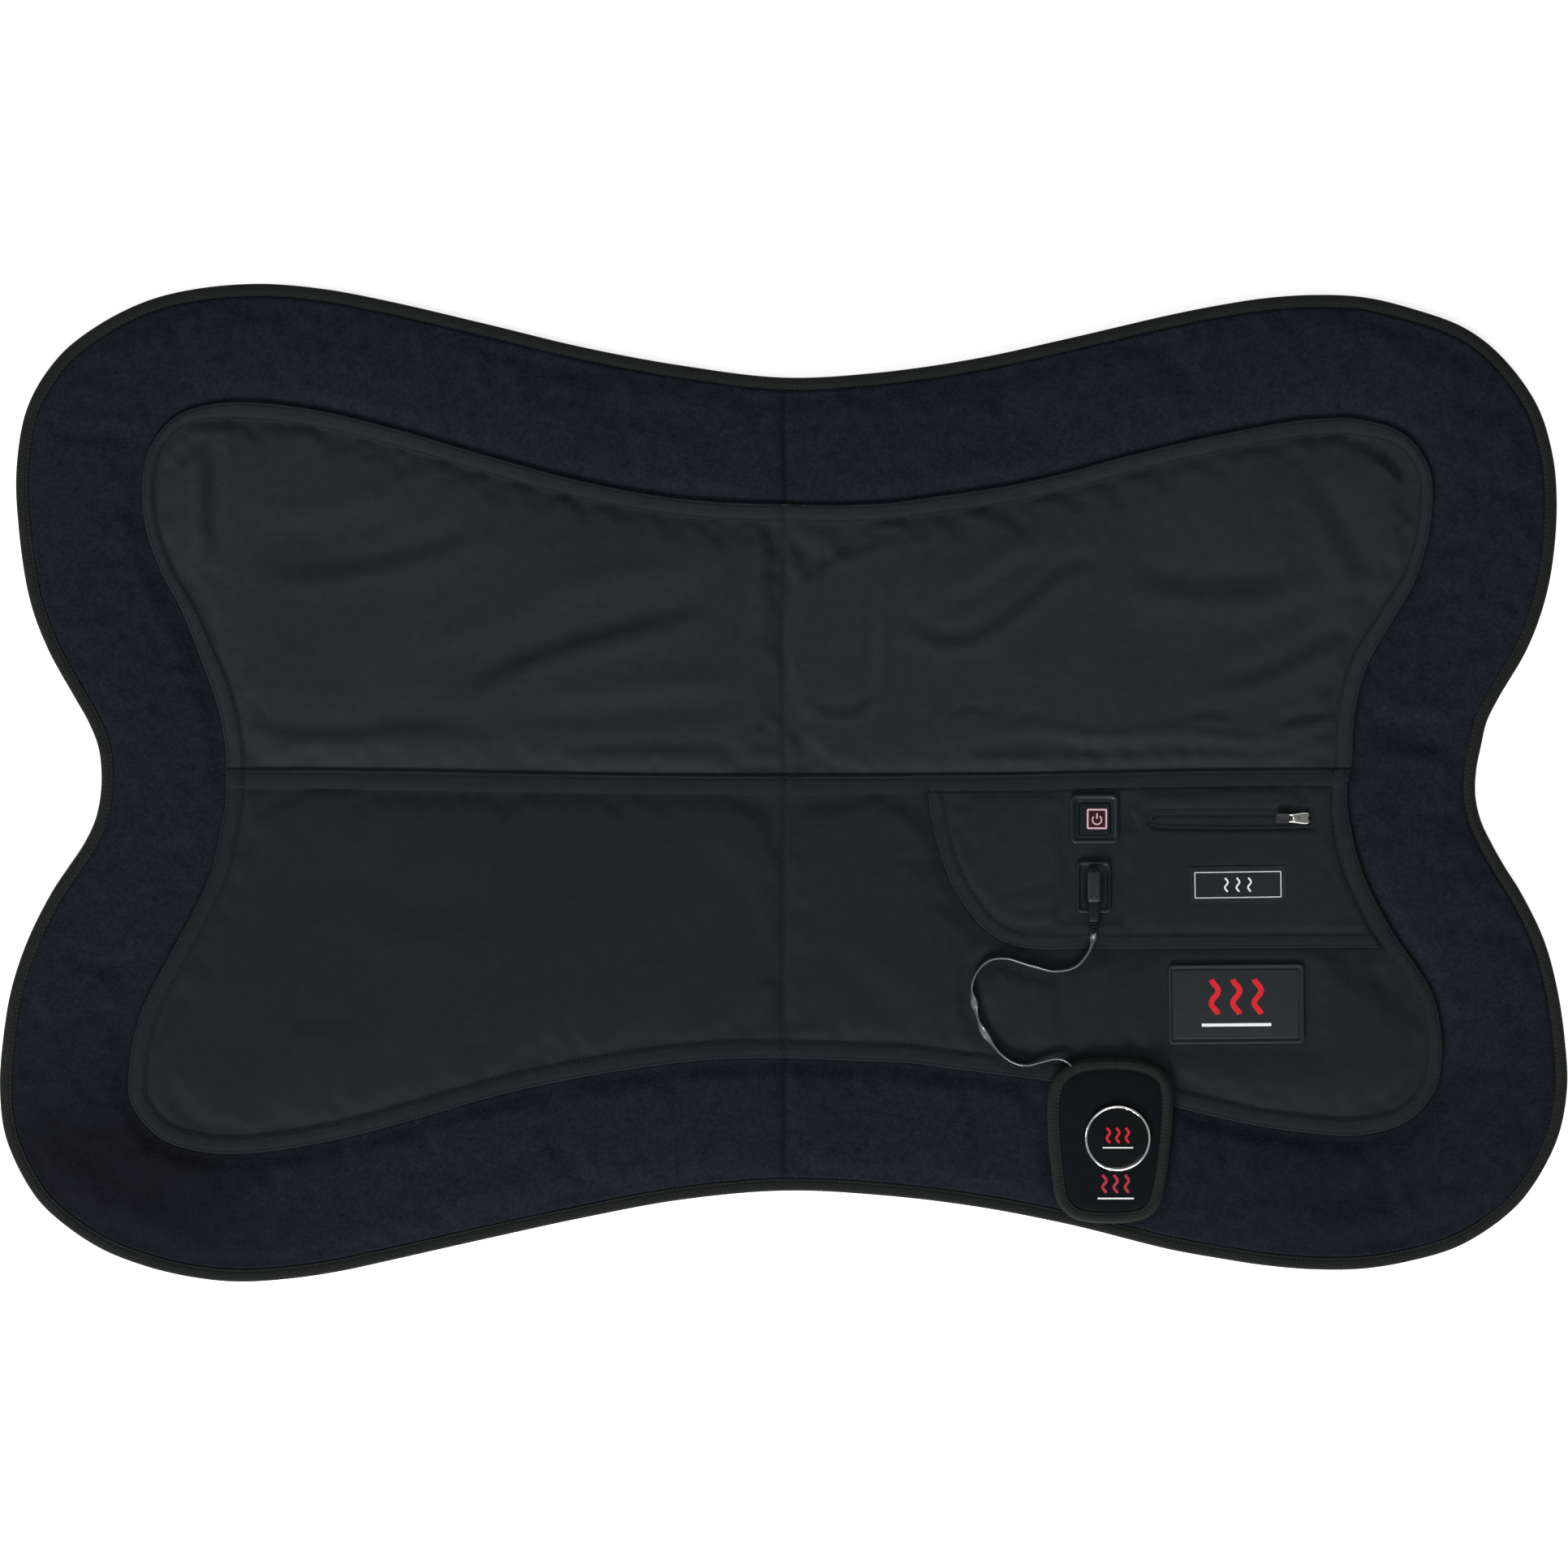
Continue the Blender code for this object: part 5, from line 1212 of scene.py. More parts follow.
pk_extra = [offset(pocket_low.q[::2], v, False) for v in (-0.35, 0.35, 0.75, 1.1, 1.5, 1.9, 2.6, 3.8, 5.4, 6.8, 7.5, 8.0, 8.5, 9.2, 10.2)]
pk_extra += [offset(pocket_low.q[::2], -v, False) for v in (0.35, 0.75, 1.1, 1.5, 1.9, 2.6, 3.8, 5.4, 6.8, 7.5, 8.0, 8.5, 9.2, 10.2)]
pk_extra += [offset(slit, -v) for v in (0.5, 1.0, 1.6, 2.3, 3.0, 4.0)]
pk_extra += [pocket_top_line - [0, v] for v in (0.6, 1.2, 1.9, 2.8)]
pk_extra += [offset(hemside, v, False) for v in (0.6, 1.2, 2.0, -0.6, -1.2, -2.0)]
pocket = sheet_piece("pocket_cloth", [pocket_outline, anticlockwise(slit), bezel_hole, port_hole], np.vstack(pk_extra), 1.9,
                     pocket_top, 0.55, POCKET_CLOTH, bottom=lambda P: np.maximum(7.92, pocket_top(P) - 0.6))

def paint_shade(obj, shade):
    """Painted shade in the lines of stitching and the other hollows the shade function gives, as a mesh attribute the
    cloth reads.
    """
    co = np.zeros(len(obj.data.vertices) * 3)
    obj.data.vertices.foreach_get("co", co)
    P = co.reshape(-1, 3)[:, :2] / MM
    a = obj.data.attributes.new("PaintedShade", "FLOAT", "POINT")
    a.data.foreach_set("value", np.clip(shade(P), 0, 1).astype(np.float32))


# painted shade along the hem's stitch rows, the seam's edge and the fold line
def upper_shade(P):
    d, w = L_COVER.near(P)[0], hem_width(P)
    e = P[:, 1] - seam_top(P[:, 0])
    x = P[:, 0] + 0.6 * noise2(P, 60, 31)
    v = 0.55 * bump(d, 1.55, 0.55) + 0.70 * bump(d, w + 0.1, 0.6) + 0.25 * bump(d, w + 1.4, 0.8)
    return v + (0.50 + 0.25 * smooth(-250, 150, P[:, 0])) * bump(e, 0.0, 0.8) + 0.30 * bump(x, 0, 3.0) * (0.5 + 0.5 * noise2(P, 30, 92))


# painted shade along the hem's stitch rows, the seam's two rows and the fold line
def lower_shade(P):
    d, w = L_COVER.near(P)[0], hem_width(P)
    e = seam_top(P[:, 0]) - P[:, 1]
    far = L_FLAP.near(P)[2]
    x = P[:, 0] + 0.6 * noise2(P, 60, 31)
    v = 0.55 * bump(d, 1.55, 0.55) + 0.70 * bump(d, w + 0.1, 0.6) + 0.25 * bump(d, w + 1.4, 0.8)
    v = v + (0.45 * bump(e, 2.3, 0.55) + 0.55 * bump(e, SEAM_W + 0.1, 0.6)) * (d > w - 1)
    # painted shadow beside the pocket flap's edge
    return v + 0.75 * bump(far, 0.0, 1.3) + 0.20 * bump(far, 0.0, 7.0) + 0.22 * bump(x, 0, 3.0) * (0.6 + 0.4 * noise2(P, 30, 92))


# painted shade along the pocket's stitch rows, its top and side edges and the zip slit
def pocket_shade(P):
    n = np.abs(pocket_low.near(P)[0])
    s = L_HEMSIDE.near(P)[2]
    e = seam_top(P[:, 0]) - P[:, 1] - SEAM_W
    sl = -L_SLIT.near(P)[0]
    v = 0.50 * bump(n, 1.5, 0.5) + 0.60 * bump(n, PW + 0.1, 0.55)
    return v + 0.6 * bump(e, 0.4, 0.9) + 0.55 * bump(s, 0.3, 0.8) + 0.15 * bump(sl, 2.3, 0.5) + 0.35 * bump(sl, 0.0, 0.5)


paint_shade(upper, upper_shade)
paint_shade(lower, lower_shade)
paint_shade(pocket, pocket_shade)


def border_shade(P):
    """Painted shade: the fold line, beside the cover's edge, and over the lower corners, most at the lower left."""
    dc = L_COVER.near(P)[0]
    x = P[:, 0] + 0.6 * noise2(P, 60, 31)
    # painted shade: darker towards the lower corners, more at the left
    corner_shade = 0.62 * smooth(-230, -400, P[:, 0]) * smooth(-130, -220, P[:, 1]) + 0.26 * smooth(150, 330, P[:, 0]) * smooth(-130, -215, P[:, 1])
    return 0.55 * bump(x, 0, 1.8) + 0.45 * bump(dc, -0.5, 1.0) + corner_shade * (0.9 + 0.25 * noise2(P, 45, 95))


paint_shade(border, border_shade)

# ----------------------------------------------------------------------------- edge binding
CB = offset(edge, 0.0)
dl = np.roll(CB, -1, 0) - np.roll(CB, 1, 0)
dl = dl / np.linalg.norm(dl, axis=1)[:, None]
left3 = np.column_stack([-dl[:, 1], dl[:, 0], np.zeros(len(CB))])
up3 = np.tile([0.0, 0.0, 1.0], (len(CB), 1))


def tape_profile(w, z0, z1, t, r=2.2, k=6, groove=6.55):
    """Folded tape round an edge: outside skin and inside skin, from the lower lip round to the upper one."""
    out = [(w, z0 + 0.15), (groove, z0), ((w + r) / 2, z0)]
    for i in range(k + 1):
        a = -math.pi / 2 - math.pi / 2 * i / k
        out.append((r + r * math.cos(a), z0 + r + r * math.sin(a)))
    for i in range(k + 1):
        a = math.pi - math.pi / 2 * i / k
        out.append((r + r * math.cos(a), z1 - r + r * math.sin(a)))
    out += [((w + r) * 0.42, z1 + 0.16), ((w + r) * 0.58, z1 + 0.10), (groove - 0.7, z1 - 0.05), (groove, z1 - 0.30),
            (groove + 0.45, z1 - 0.08), (w, z1 - 0.12), (w + 0.1, z1 - 0.35), (w - 0.1, z1 - t)]
    q = r - t * 0.6
    ins = [(w, z1 - t - 0.02), (groove, z1 - t - 0.3), (r + 0.5, z1 - t)]
    ins += [(t, z1 - r - 0.3), (t, z0 + r + 0.3), (r + 0.5, z0 + t), (w, z0 + t)]
    return np.array(out + ins)


prof = tape_profile(BIND_W, 0.0, BIND_W + 0.1, 0.62)
profs = np.repeat(prof[None], len(CB), 0)
wob = 0.16 * noise2(CB, 9.0, 81) + 0.12 * noise2(CB, 31.0, 82)
top_side = prof[:, 1] > 5.4
profs[:, top_side, 1] += wob[:, None] * 0.6
lip = prof[:, 0] > 6.9
profs[:, lip, 0] += 0.22 * noise2(CB, 14.0, 83)[:, None]
profs[:, :, 1] += (crease(np.column_stack([CB[:, 0], CB[:, 1]]), 0.5)[:, None]) * top_side[None] * 0.8
binding = sweep("edge_binding", np.column_stack([CB, np.zeros(len(CB))]), left3, up3, profs, True, TAPE_MAT, uv=True)


def tape_top(P):
    return 7.33 + 0.10 * noise2(P, 9.0, 81) + 0.07 * noise2(P, 31.0, 82) + 0.4 * crease(P, 0.5)


def tape_low(P):
    return 0.02 + 0 * P[:, 0]


binding_stitch = stitches("binding_stitches", [(offset(edge, 6.55), True)], tape_top, THREAD, 2.1, 2.9, 0.26)

# ----------------------------------------------------------------------------- rows of stitches
def cover_top(P):
    return np.where(P[:, 1] - seam_top(P[:, 0]) > 0, upper_top(P), lower_top(P))


xs = np.linspace(-334, 338, 400)
up_line = part_of(offset(cover, 1.55), lambda x: seam_top(x) + 0.5, 1)
rows = [(offset(cover, 1.55), True), (offset(cover, hw_loop), True),
        (np.column_stack([xs, seam_top(xs) - 2.3]), False), (np.column_stack([xs, seam_top(xs) - SEAM_W]), False)]
cover_stitch = stitches("cover_stitches", rows, cover_top, THREAD_DARK, 2.0, 2.8, 0.24, 0.06)
fl = [offset(pocket_low.q, v, False) for v in (1.5, PW)]
if not inside(pocket_outline, fl[0][60:61])[0]:
    fl = [offset(pocket_low.q, -v, False) for v in (1.5, PW)]
fl = [q[inside(pocket_outline, q)] for q in fl]
slit_rows = offset(slit, -2.3)
bar = [(np.array([(221.6, -17.4), (221.6, -26.4)]), False), (np.array([(222.7, -17.4), (222.7, -26.4)]), False)]
pocket_stitch = stitches("pocket_stitches", [(q, False) for q in fl] + [(slit_rows[slit_rows[:, 0] < 319], False)] + bar,
                         pocket_top, THREAD_DARK, 1.9, 2.6, 0.22, 0.06)

# ----------------------------------------------------------------------------- foam, wire ribbon and lining
def across_fold(name, nodes, mat, planes=(-24, -19, -15, -11, -8, -5, -2.5, 0, 2.5, 5, 8, 11, 15, 19, 24)):
    """The two halves of a layer as one piece: each is brought to the fold line, cut into strips there and welded."""
    bm = bmesh.new()
    for node in nodes:
        bm.from_mesh(NODES[node].data)
    for v in bm.verts:
        if abs(v.co.x) < 0.00065:
            v.co.x = 0.0
    bmesh.ops.remove_doubles(bm, verts=bm.verts, dist=0.00004)
    bm.faces.ensure_lookup_table()
    inner_faces = [f for f in bm.faces if all(abs(v.co.x) < 1e-6 for v in f.verts)]
    bmesh.ops.delete(bm, geom=inner_faces, context="FACES_ONLY")
    loose = [e for e in bm.edges if not e.link_faces]
    bmesh.ops.delete(bm, geom=loose, context="EDGES")
    for x in planes:
        bmesh.ops.bisect_plane(bm, geom=bm.verts[:] + bm.edges[:] + bm.faces[:], plane_co=(x * MM, 0, 0),
                               plane_no=(1, 0, 0), dist=1e-7)
    bmesh.ops.recalc_face_normals(bm, faces=bm.faces)
    mesh = bpy.data.meshes.new(name)
    bm.to_mesh(mesh)
    bm.free()
    mesh.materials.clear()
    mesh.materials.append(mat)
    obj = bpy.data.objects.new(name, mesh)
    scene.collection.objects.link(obj)
    return obj


foam = across_fold("foam_core", ["foam_right", "foam_left"], FOAM_MAT)
harness = across_fold("wire_harness", ["harness_right", "harness_left"], WIRE_MAT)

window_loops = [rr(c[0], c[1], s[0] - 2.0, s[1] - 2.0, 4.5, 4, 10) for _, c, s in STRIPS]
W_LINES = [Line(w, True, 0.8) for w in window_loops]


def lining_low(P):
    """Underside of the lining: flat on the table, a little lifted along its seams."""
    de = L_EDGE.near(P)[0]
    z = 0.02 + 0.16 * (0.5 + 0.5 * noise2(P, 34, 91)) + 0.05 * (0.5 + 0.5 * noise2(P, 9, 92))
    z = z + 0.35 * bump(de, 9.0, 1.0)
    for L in W_LINES:
        n = -L.near(P)[0]
        z = z + 0.22 * bump(n, 1.2, 0.6) - 0.0 * n
    y = np.abs(P[:, 1])
    return z + 0.30 * bump(P[:, 0], 0, 1.6) * (y < 240)


lining_edge = offset(edge, 6.2)
lin_extra = rings(edge, [7.4, 8.2, 9.0, 9.8, 10.8, 12.2]) + [offset(w, -g) for w in window_loops for g in (0.6, 1.2, 1.8, 2.6, 4.0)]
lin_extra += [np.array([[x, y] for x in (-10, -6, -3, -1.4, 0, 1.4, 3, 6, 10) for y in np.arange(-236, 236, 4.0)])]
lining = sheet_piece("lining_sheet", [lining_edge] + window_loops, np.vstack(lin_extra), 5.2,
                     lambda P: lining_low(P) + 0.62, 0.62, LINING_MAT)
lining_stitch = stitches("lining_stitches", [(offset(w, -1.2), True) for w in window_loops] + [(offset(edge, 9.0), True)],
                         lambda P: -lining_low(P) - 0.02, THREAD, 2.1, 3.0, 0.2, 0.0)
for v in lining_stitch.data.vertices:
    v.co.z = max(0.00003, -v.co.z)
lining_stitch.data.flip_normals()

films, lens_sets = [], []
for name, c, s in STRIPS:
    loop = [(k, z) for k, z in ((0.0, 0.85), (0.0, 0.98), (1.6, 1.02))]
    rings_up = [(rr(c[0], c[1], s[0] + 3.6, s[1] + 3.6, 5.6, 5, 6), 0.86), (rr(c[0], c[1], s[0] + 3.6, s[1] + 3.6, 5.6, 5, 6), 0.96),
                (rr(c[0], c[1], s[0] - 3, s[1] - 3, 4.2, 5, 6), 1.0)]
    down = [(rr(c[0], c[1], s[0] - 6, s[1] - 6, 3.6, 5, 6), 0.34), (rr(c[0], c[1], s[0] - 2.6, s[1] - 2.6, 4.2, 5, 6), 0.52)]
    film = loft("film_" + name, [(l, z) for l, z in down[::1]] + rings_up[::1], FILM)
    films.append((film, "window_" + name, c[0]))
    parts = []
    for i in range(6):
        for j in (-1, 1):
            x = c[0] + (i - 2.5) * (s[0] - 14) / 6.0
            y = c[1] + j * 6.5
            parts.append(loft("lens", [(rr(x, y, 2.9, 2.2, 0.9, 3, 0), 1.09), (rr(x, y, 2.5, 1.8, 0.8, 3, 0), 1.045),
                                       (rr(x, y, 1.2, 0.8, 0.38, 3, 0), 1.02)][::-1] + [], LENS))
    lens_sets.append((join("leds_" + name, parts), c[0]))

# ----------------------------------------------------------------------------- switch
bx, by = BUTTON_C
gx = bx + 1.3  # the lit square sits a little right of the key's middle
bezel = loft("bezel_shell", [
    (rr(bx, by, 29.0, 29.5, 3.4, 6, 3), 8.15), (rr(bx, by, 29.0, 29.5, 3.4, 6, 3), 10.05),
    (rr(bx, by, 28.7, 29.2, 3.3, 6, 3), 10.50), (rr(bx, by, 27.9, 28.4, 3.0, 6, 3), 10.78),
    (rr(bx, by, 26.6, 27.1, 2.6, 6, 3), 10.82), (rr(bx, by, 25.2, 25.9, 2.3, 6, 3), 10.62),
    (rr(bx, by, 24.0, 24.9, 2.0, 6, 3), 10.10), (rr(bx, by, 23.4, 24.3, 1.8, 6, 3), 9.72),
    (rr(bx, by, 22.4, 23.3, 1.6, 6, 3), 9.60), (rr(bx, by, 19.3, 20.1, 1.3, 6, 3), 9.60),
    (rr(bx, by, 19.0, 19.8, 1.2, 6, 3), 9.50), (rr(bx, by, 19.0, 19.8, 1.2, 6, 3), 8.15)], TRAY_BLACK, True)
key = loft("key_cap", [
    (rr(bx, by, 4.8, 4.8, 0.5, 6, 3), 6.72), (rr(bx, by, 4.8, 4.8, 0.5, 6, 3), 8.70),
    (rr(bx, by, 18.2, 19.0, 1.1, 6, 3), 8.72), (rr(bx, by, 18.2, 19.0, 1.1, 6, 3), 10.45),
    (rr(bx, by, 17.8, 18.6, 1.3, 6, 3), 10.78), (rr(bx, by, 16.9, 17.7, 1.5, 6, 3), 10.90),
    (rr(gx, by, 12.8, 12.8, 0.9, 6, 3), 10.86), (rr(gx, by, 12.5, 12.5, 0.9, 6, 3), 10.72)], SOFT_BLACK)
guide = loft("key_light_square", [
    (rr(gx, by, 12.3, 12.3, 0.9, 5, 2), 10.74), (rr(gx, by, 12.3, 12.3, 0.9, 5, 2), 10.90),
    (rr(gx, by, 12.15, 12.15, 0.8, 5, 2), 10.97), (rr(gx, by, 10.35, 10.35, 0.5, 5, 2), 10.97),
    (rr(gx, by, 10.2, 10.2, 0.4, 5, 2), 10.90), (rr(gx, by, 10.2, 10.2, 0.4, 5, 2), 10.74)], ICON_GLOW, True)
lens_plate = loft("key_lens", [(rr(gx, by, 9.95, 9.95, 0.4, 4, 2), 10.74), (rr(gx, by, 9.95, 9.95, 0.4, 4, 2), 10.86),
                               (rr(gx, by, 9.7, 9.7, 0.4, 4, 2), 10.90)], KEY_GLOW)


def flat_ribbon(name, pts, width, z0, z1, mat, closed=False):
    """A raised flat line, for printed and lit marks."""
    q = np.asarray(pts, float)
    if closed:
        t = np.roll(q, -1, 0) - np.roll(q, 1, 0)
    else:
        t = np.gradient(q, axis=0)
    t = t / np.linalg.norm(t, axis=1)[:, None]
    l3 = np.column_stack([-t[:, 1], t[:, 0], np.zeros(len(q))])
    u3 = np.tile([0.0, 0, 1.0], (len(q), 1))
    w = width / 2
    zz = (z0 + z1) / 2
    prof = np.array([(-w, z0 - zz), (w, z0 - zz), (w, z1 - zz - 0.03), (w - 0.05, z1 - zz), (-w + 0.05, z1 - zz), (-w, z1 - zz - 0.03)])
    return sweep(name, np.column_stack([q, np.full(len(q), zz)]), l3, u3, prof, closed, mat)


arc = [(gx + 2.75 * math.sin(math.radians(a)), by - 0.5 + 2.75 * math.cos(math.radians(a))) for a in range(38, 323, 12)]
icon = join("key_power_mark", [flat_ribbon("arc", arc, 0.85, 10.88, 10.99, ICON_GLOW),
                               flat_ribbon("bar", [(gx, by + 0.1), (gx, by + 1.6), (gx, by + 3.4)], 0.95, 10.88, 10.99, ICON_GLOW)])

# ----------------------------------------------------------------------------- socket, plug
sx, sy = SOCKET_C
tray = loft("socket_tray", [
    (rr(sx, sy, 20.4, 31.0, 2.8, 6, 4), 8.10), (rr(sx, sy, 20.4, 31.0, 2.8, 6, 4), 9.90),
    (rr(sx, sy, 20.1, 30.7, 2.7, 6, 4), 10.35), (rr(sx, sy, 19.3, 29.9, 2.5, 6, 4), 10.58),
    (rr(sx, sy, 18.2, 28.8, 2.2, 6, 4), 10.60), (rr(sx, sy, 17.2, 27.6, 1.9, 6, 4), 10.35),
    (rr(sx, sy, 16.4, 26.6, 1.7, 6, 4), 9.75), (rr(sx, sy, 15.8, 26.0, 1.5, 6, 4), 9.45),
    (rr(sx, sy, 14.8, 25.0, 1.3, 6, 4), 9.38), (rr(sx, sy, 5.4, 11.8, 0.9, 6, 4), 9.34),
    (rr(sx, sy, 4.9, 11.3, 0.7, 6, 4), 9.2), (rr(sx, sy, 4.9, 11.3, 0.7, 6, 4), 8.10)], TRAY_BLACK, True)
PX = 187.7
body_rings = []
for y, w, z0, z1, r in ((-53.35, 6.6, 10.9, 14.2, 1.4), (-53.55, 7.6, 10.2, 14.9, 1.6), (-54.2, 8.2, 9.9, 15.4, 1.6),
                        (-56.0, 8.4, 9.8, 15.6, 1.7), (-62.0, 8.4, 9.8, 15.6, 1.7), (-69.6, 8.3, 9.8, 15.55, 1.7),
                        (-71.2, 8.1, 9.95, 15.35, 1.6), (-71.9, 7.4, 10.4, 14.9, 1.5)):
    prof = rr(0, (z0 + z1) / 2, w, z1 - z0, r, 5, 2)
    body_rings.append((y, prof))


def along_y(name, rings_y, mat, angle=35):
    V, faces = [], []
    n = len(rings_y[0][1])
    for y, p in rings_y:
        V.append(np.column_stack([PX + p[:, 0], np.full(n, y), p[:, 1]]))
    V = np.vstack(V)
    m = len(rings_y)
    for k in range(m - 1):
        for i in range(n):
            j = (i + 1) % n
            faces.append((k * n + i, k * n + j, (k + 1) * n + j, (k + 1) * n + i))
    faces.append(tuple(range(n))[::-1])
    faces.append(tuple((m - 1) * n + i for i in range(n)))
    return outward(make(name, V, faces, mat, angle))


plug = along_y("plug_overmold", body_rings, PLUG_GREY)
nose = join("plug_nose", [along_y("n1", [(y, rr(0, 12.2, w, h, 1.1, 4, 2)) for y, w, h in
                                         ((-51.9, 4.6, 2.0), (-52.1, 5.6, 2.6), (-53.1, 5.9, 2.8), (-53.6, 5.9, 2.8))], TRAY_BLACK),
                          loft("foot", [(rr(sx, sy, 5.2, 9.4, 1.0, 4, 2), 9.30), (rr(sx, sy, 5.2, 9.4, 1.0, 4, 2), 9.95)], TRAY_BLACK)])
neck_rings = [(-71.5, rr(0, 12.75, 6.9, 4.0, 1.3, 5, 2)), (-72.5, rr(0, 12.75, 7.1, 4.1, 1.3, 5, 2)),
              (-82.6, rr(0, 12.65, 6.7, 3.8, 1.3, 5, 2)), (-83.8, rr(0, 12.5, 5.8, 3.3, 1.2, 5, 2)),
              (-84.3, rr(0, 12.3, 4.4, 2.7, 1.0, 5, 2))]
y = -84.5
for k, w in enumerate((5.4, 5.1, 4.8)):
    neck_rings += [(y, rr(0, 12.15, w - 1.5, 2.5, 0.9, 5, 2)), (y - 0.25, rr(0, 12.1, w, 3.3, 1.1, 5, 2)),
                   (y - 1.15, rr(0, 12.1, w - 0.1, 3.2, 1.1, 5, 2)), (y - 1.40, rr(0, 12.1, w - 1.6, 2.4, 0.9, 5, 2))]
    y -= 1.9
neck_rings += [(-90.2, rr(0, 12.0, 2.6, 2.6, 0.9, 5, 2)), (-91.2, rr(0, 12.0, 2.0, 4.0, 0.7, 5, 2))]
neck = along_y("plug_relief", neck_rings, PLUG_DARK)

# ----------------------------------------------------------------------------- flat cable
cq = curve(CABLE, False, 0.9)
# the last few millimetres tuck under the hand pad's binding
run = cq[-1] - cq[-4]
run = run / np.linalg.norm(run)
into = np.array([PUCK_C[0] - cq[-1, 0], PUCK_C[1] - cq[-1, 1], 0.0])
into = into / np.linalg.norm(into)
for k in range(5):
    run = run * 0.7 + into * 0.3
    run = run / np.linalg.norm(run)
    cq = np.vstack([cq, cq[-1] + 0.9 * run * [1, 1, 0] + [0, 0, 0.12]])
seg = np.gradient(cq, axis=0)
seg = seg / np.linalg.norm(seg, axis=1)[:, None]
cs = np.concatenate([[0], np.cumsum(np.linalg.norm(np.diff(cq, axis=0), axis=1))])
flatL = np.column_stack([-seg[:, 1], seg[:, 0], np.zeros(len(seg))])
flatL = flatL / np.linalg.norm(flatL, axis=1)[:, None]
flatU = np.cross(seg, flatL)


def at(x, y):
    return cs[np.argmin((cq[:, 0] - x) ** 2 + (cq[:, 1] - y) ** 2)]


# twist: 0 stands the ribbon on its edge, 90 lays it flat
twist = 9 * np.sin(cs / 17.0)
for x, y, w, a in ((116.8, -133.5, 5.0, 62), (122.0, -151.8, 5.6, 58), (187.0, -93.5, 3.4, 50), (124.5, -107.3, 7.0, 18),
                   (153.0, -111.5, 8.0, -16)):
    twist = twist + a * bump(cs, at(x, y), w)
tw = np.radians(twist)[:, None]
across = flatU * np.cos(tw) + flatL * np.sin(tw)
thick = -flatU * np.sin(tw) + flatL * np.cos(tw)
RW, RT = 2.15, 0.62
ribbon_prof = []
for a in np.linspace(0, 2 * math.pi, 20, endpoint=False):
    c_, s_ = math.cos(a), math.sin(a)
    ribbon_prof.append((RW * math.copysign(abs(c_) ** 0.5, c_), RT * math.copysign(abs(s_) ** 0.75, s_)))
ribbon_prof = np.array(ribbon_prof)
cable = sweep("cable_ribbon", cq, across, thick, ribbon_prof, False, JACKET, 60)

# ----------------------------------------------------------------------------- zip
tapes = []
for y0, y1, flip in ((ZY + 0.42, -17.2, 1), (-26.4, ZY - 0.42, -1)):
    xs_ = np.linspace(ZIP_X[0] - 0.6, ZIP_X[1] + 0.6, 60)
    q = np.column_stack([xs_, np.full(60, (y0 + y1) / 2), np.full(60, 8.0)])
    w = (y1 - y0) / 2
    pr = np.array([(-w, -0.16), (w, -0.16), (w, 0.12), (w - 0.2, 0.18)] + [(w * t, 0.20 + 0.05 * math.cos(t * 9)) for t in np.linspace(0.75, -0.75, 9)]
                  + [(-w + 0.2, 0.18), (-w, 0.12)])
    tapes.append(sweep("t", q, np.tile([0.0, 1, 0], (60, 1)), np.tile([0.0, 0, 1], (60, 1)), pr, False, ZIP_TAPE))
zip_tapes = join("zip_tapes", tapes)
coil_parts = []
for side in (1, -1):
    t = np.arange(0, 94 / 1.3 * 2 * math.pi, 2 * math.pi / 9)
    q = np.column_stack([ZIP_X[0] + 1 + t / (2 * math.pi) * 1.3, ZY + side * 0.42 + 0.72 * np.cos(t), 8.22 + 0.34 * np.sin(t)])
    tg = np.gradient(q, axis=0)
    tg = tg / np.linalg.norm(tg, axis=1)[:, None]
    l3 = np.cross(np.tile([0.0, 0, 1], (len(q), 1)) + 1e-6, tg)
    l3 = l3 / np.linalg.norm(l3, axis=1)[:, None]
    pr = np.array([(0.24 * math.cos(a), 0.24 * math.sin(a)) for a in np.linspace(0, 2 * math.pi, 6, endpoint=False)])
    coil_parts.append(sweep("c", q, l3, np.cross(tg, l3), pr, False, COIL_BLACK, 60))
zip_coil = join("zip_coil_spiral", coil_parts)

SX0, SX1 = 306.4, 318.4
AX = (309.9, -21.5, 11.7)


def slider_loop(g):
    """Heart-shaped plan of the slider: narrow at the closed end, wider at its mouth."""
    pts = [(SX0, ZY - 2.5), (SX0 + 3.0, ZY - 2.9), (SX1 - 3.0, ZY - 3.6), (SX1 - 0.8, ZY - 3.4), (SX1, ZY - 1.9), (SX1 - 0.9, ZY),
           (SX1, ZY + 1.9), (SX1 - 0.8, ZY + 3.4), (SX1 - 3.0, ZY + 3.6), (SX0 + 3.0, ZY + 2.9), (SX0, ZY + 2.5), (SX0 - 0.0, ZY)]
    c = curve(pts, True, 0.7)
    return offset(anticlockwise(c), g)


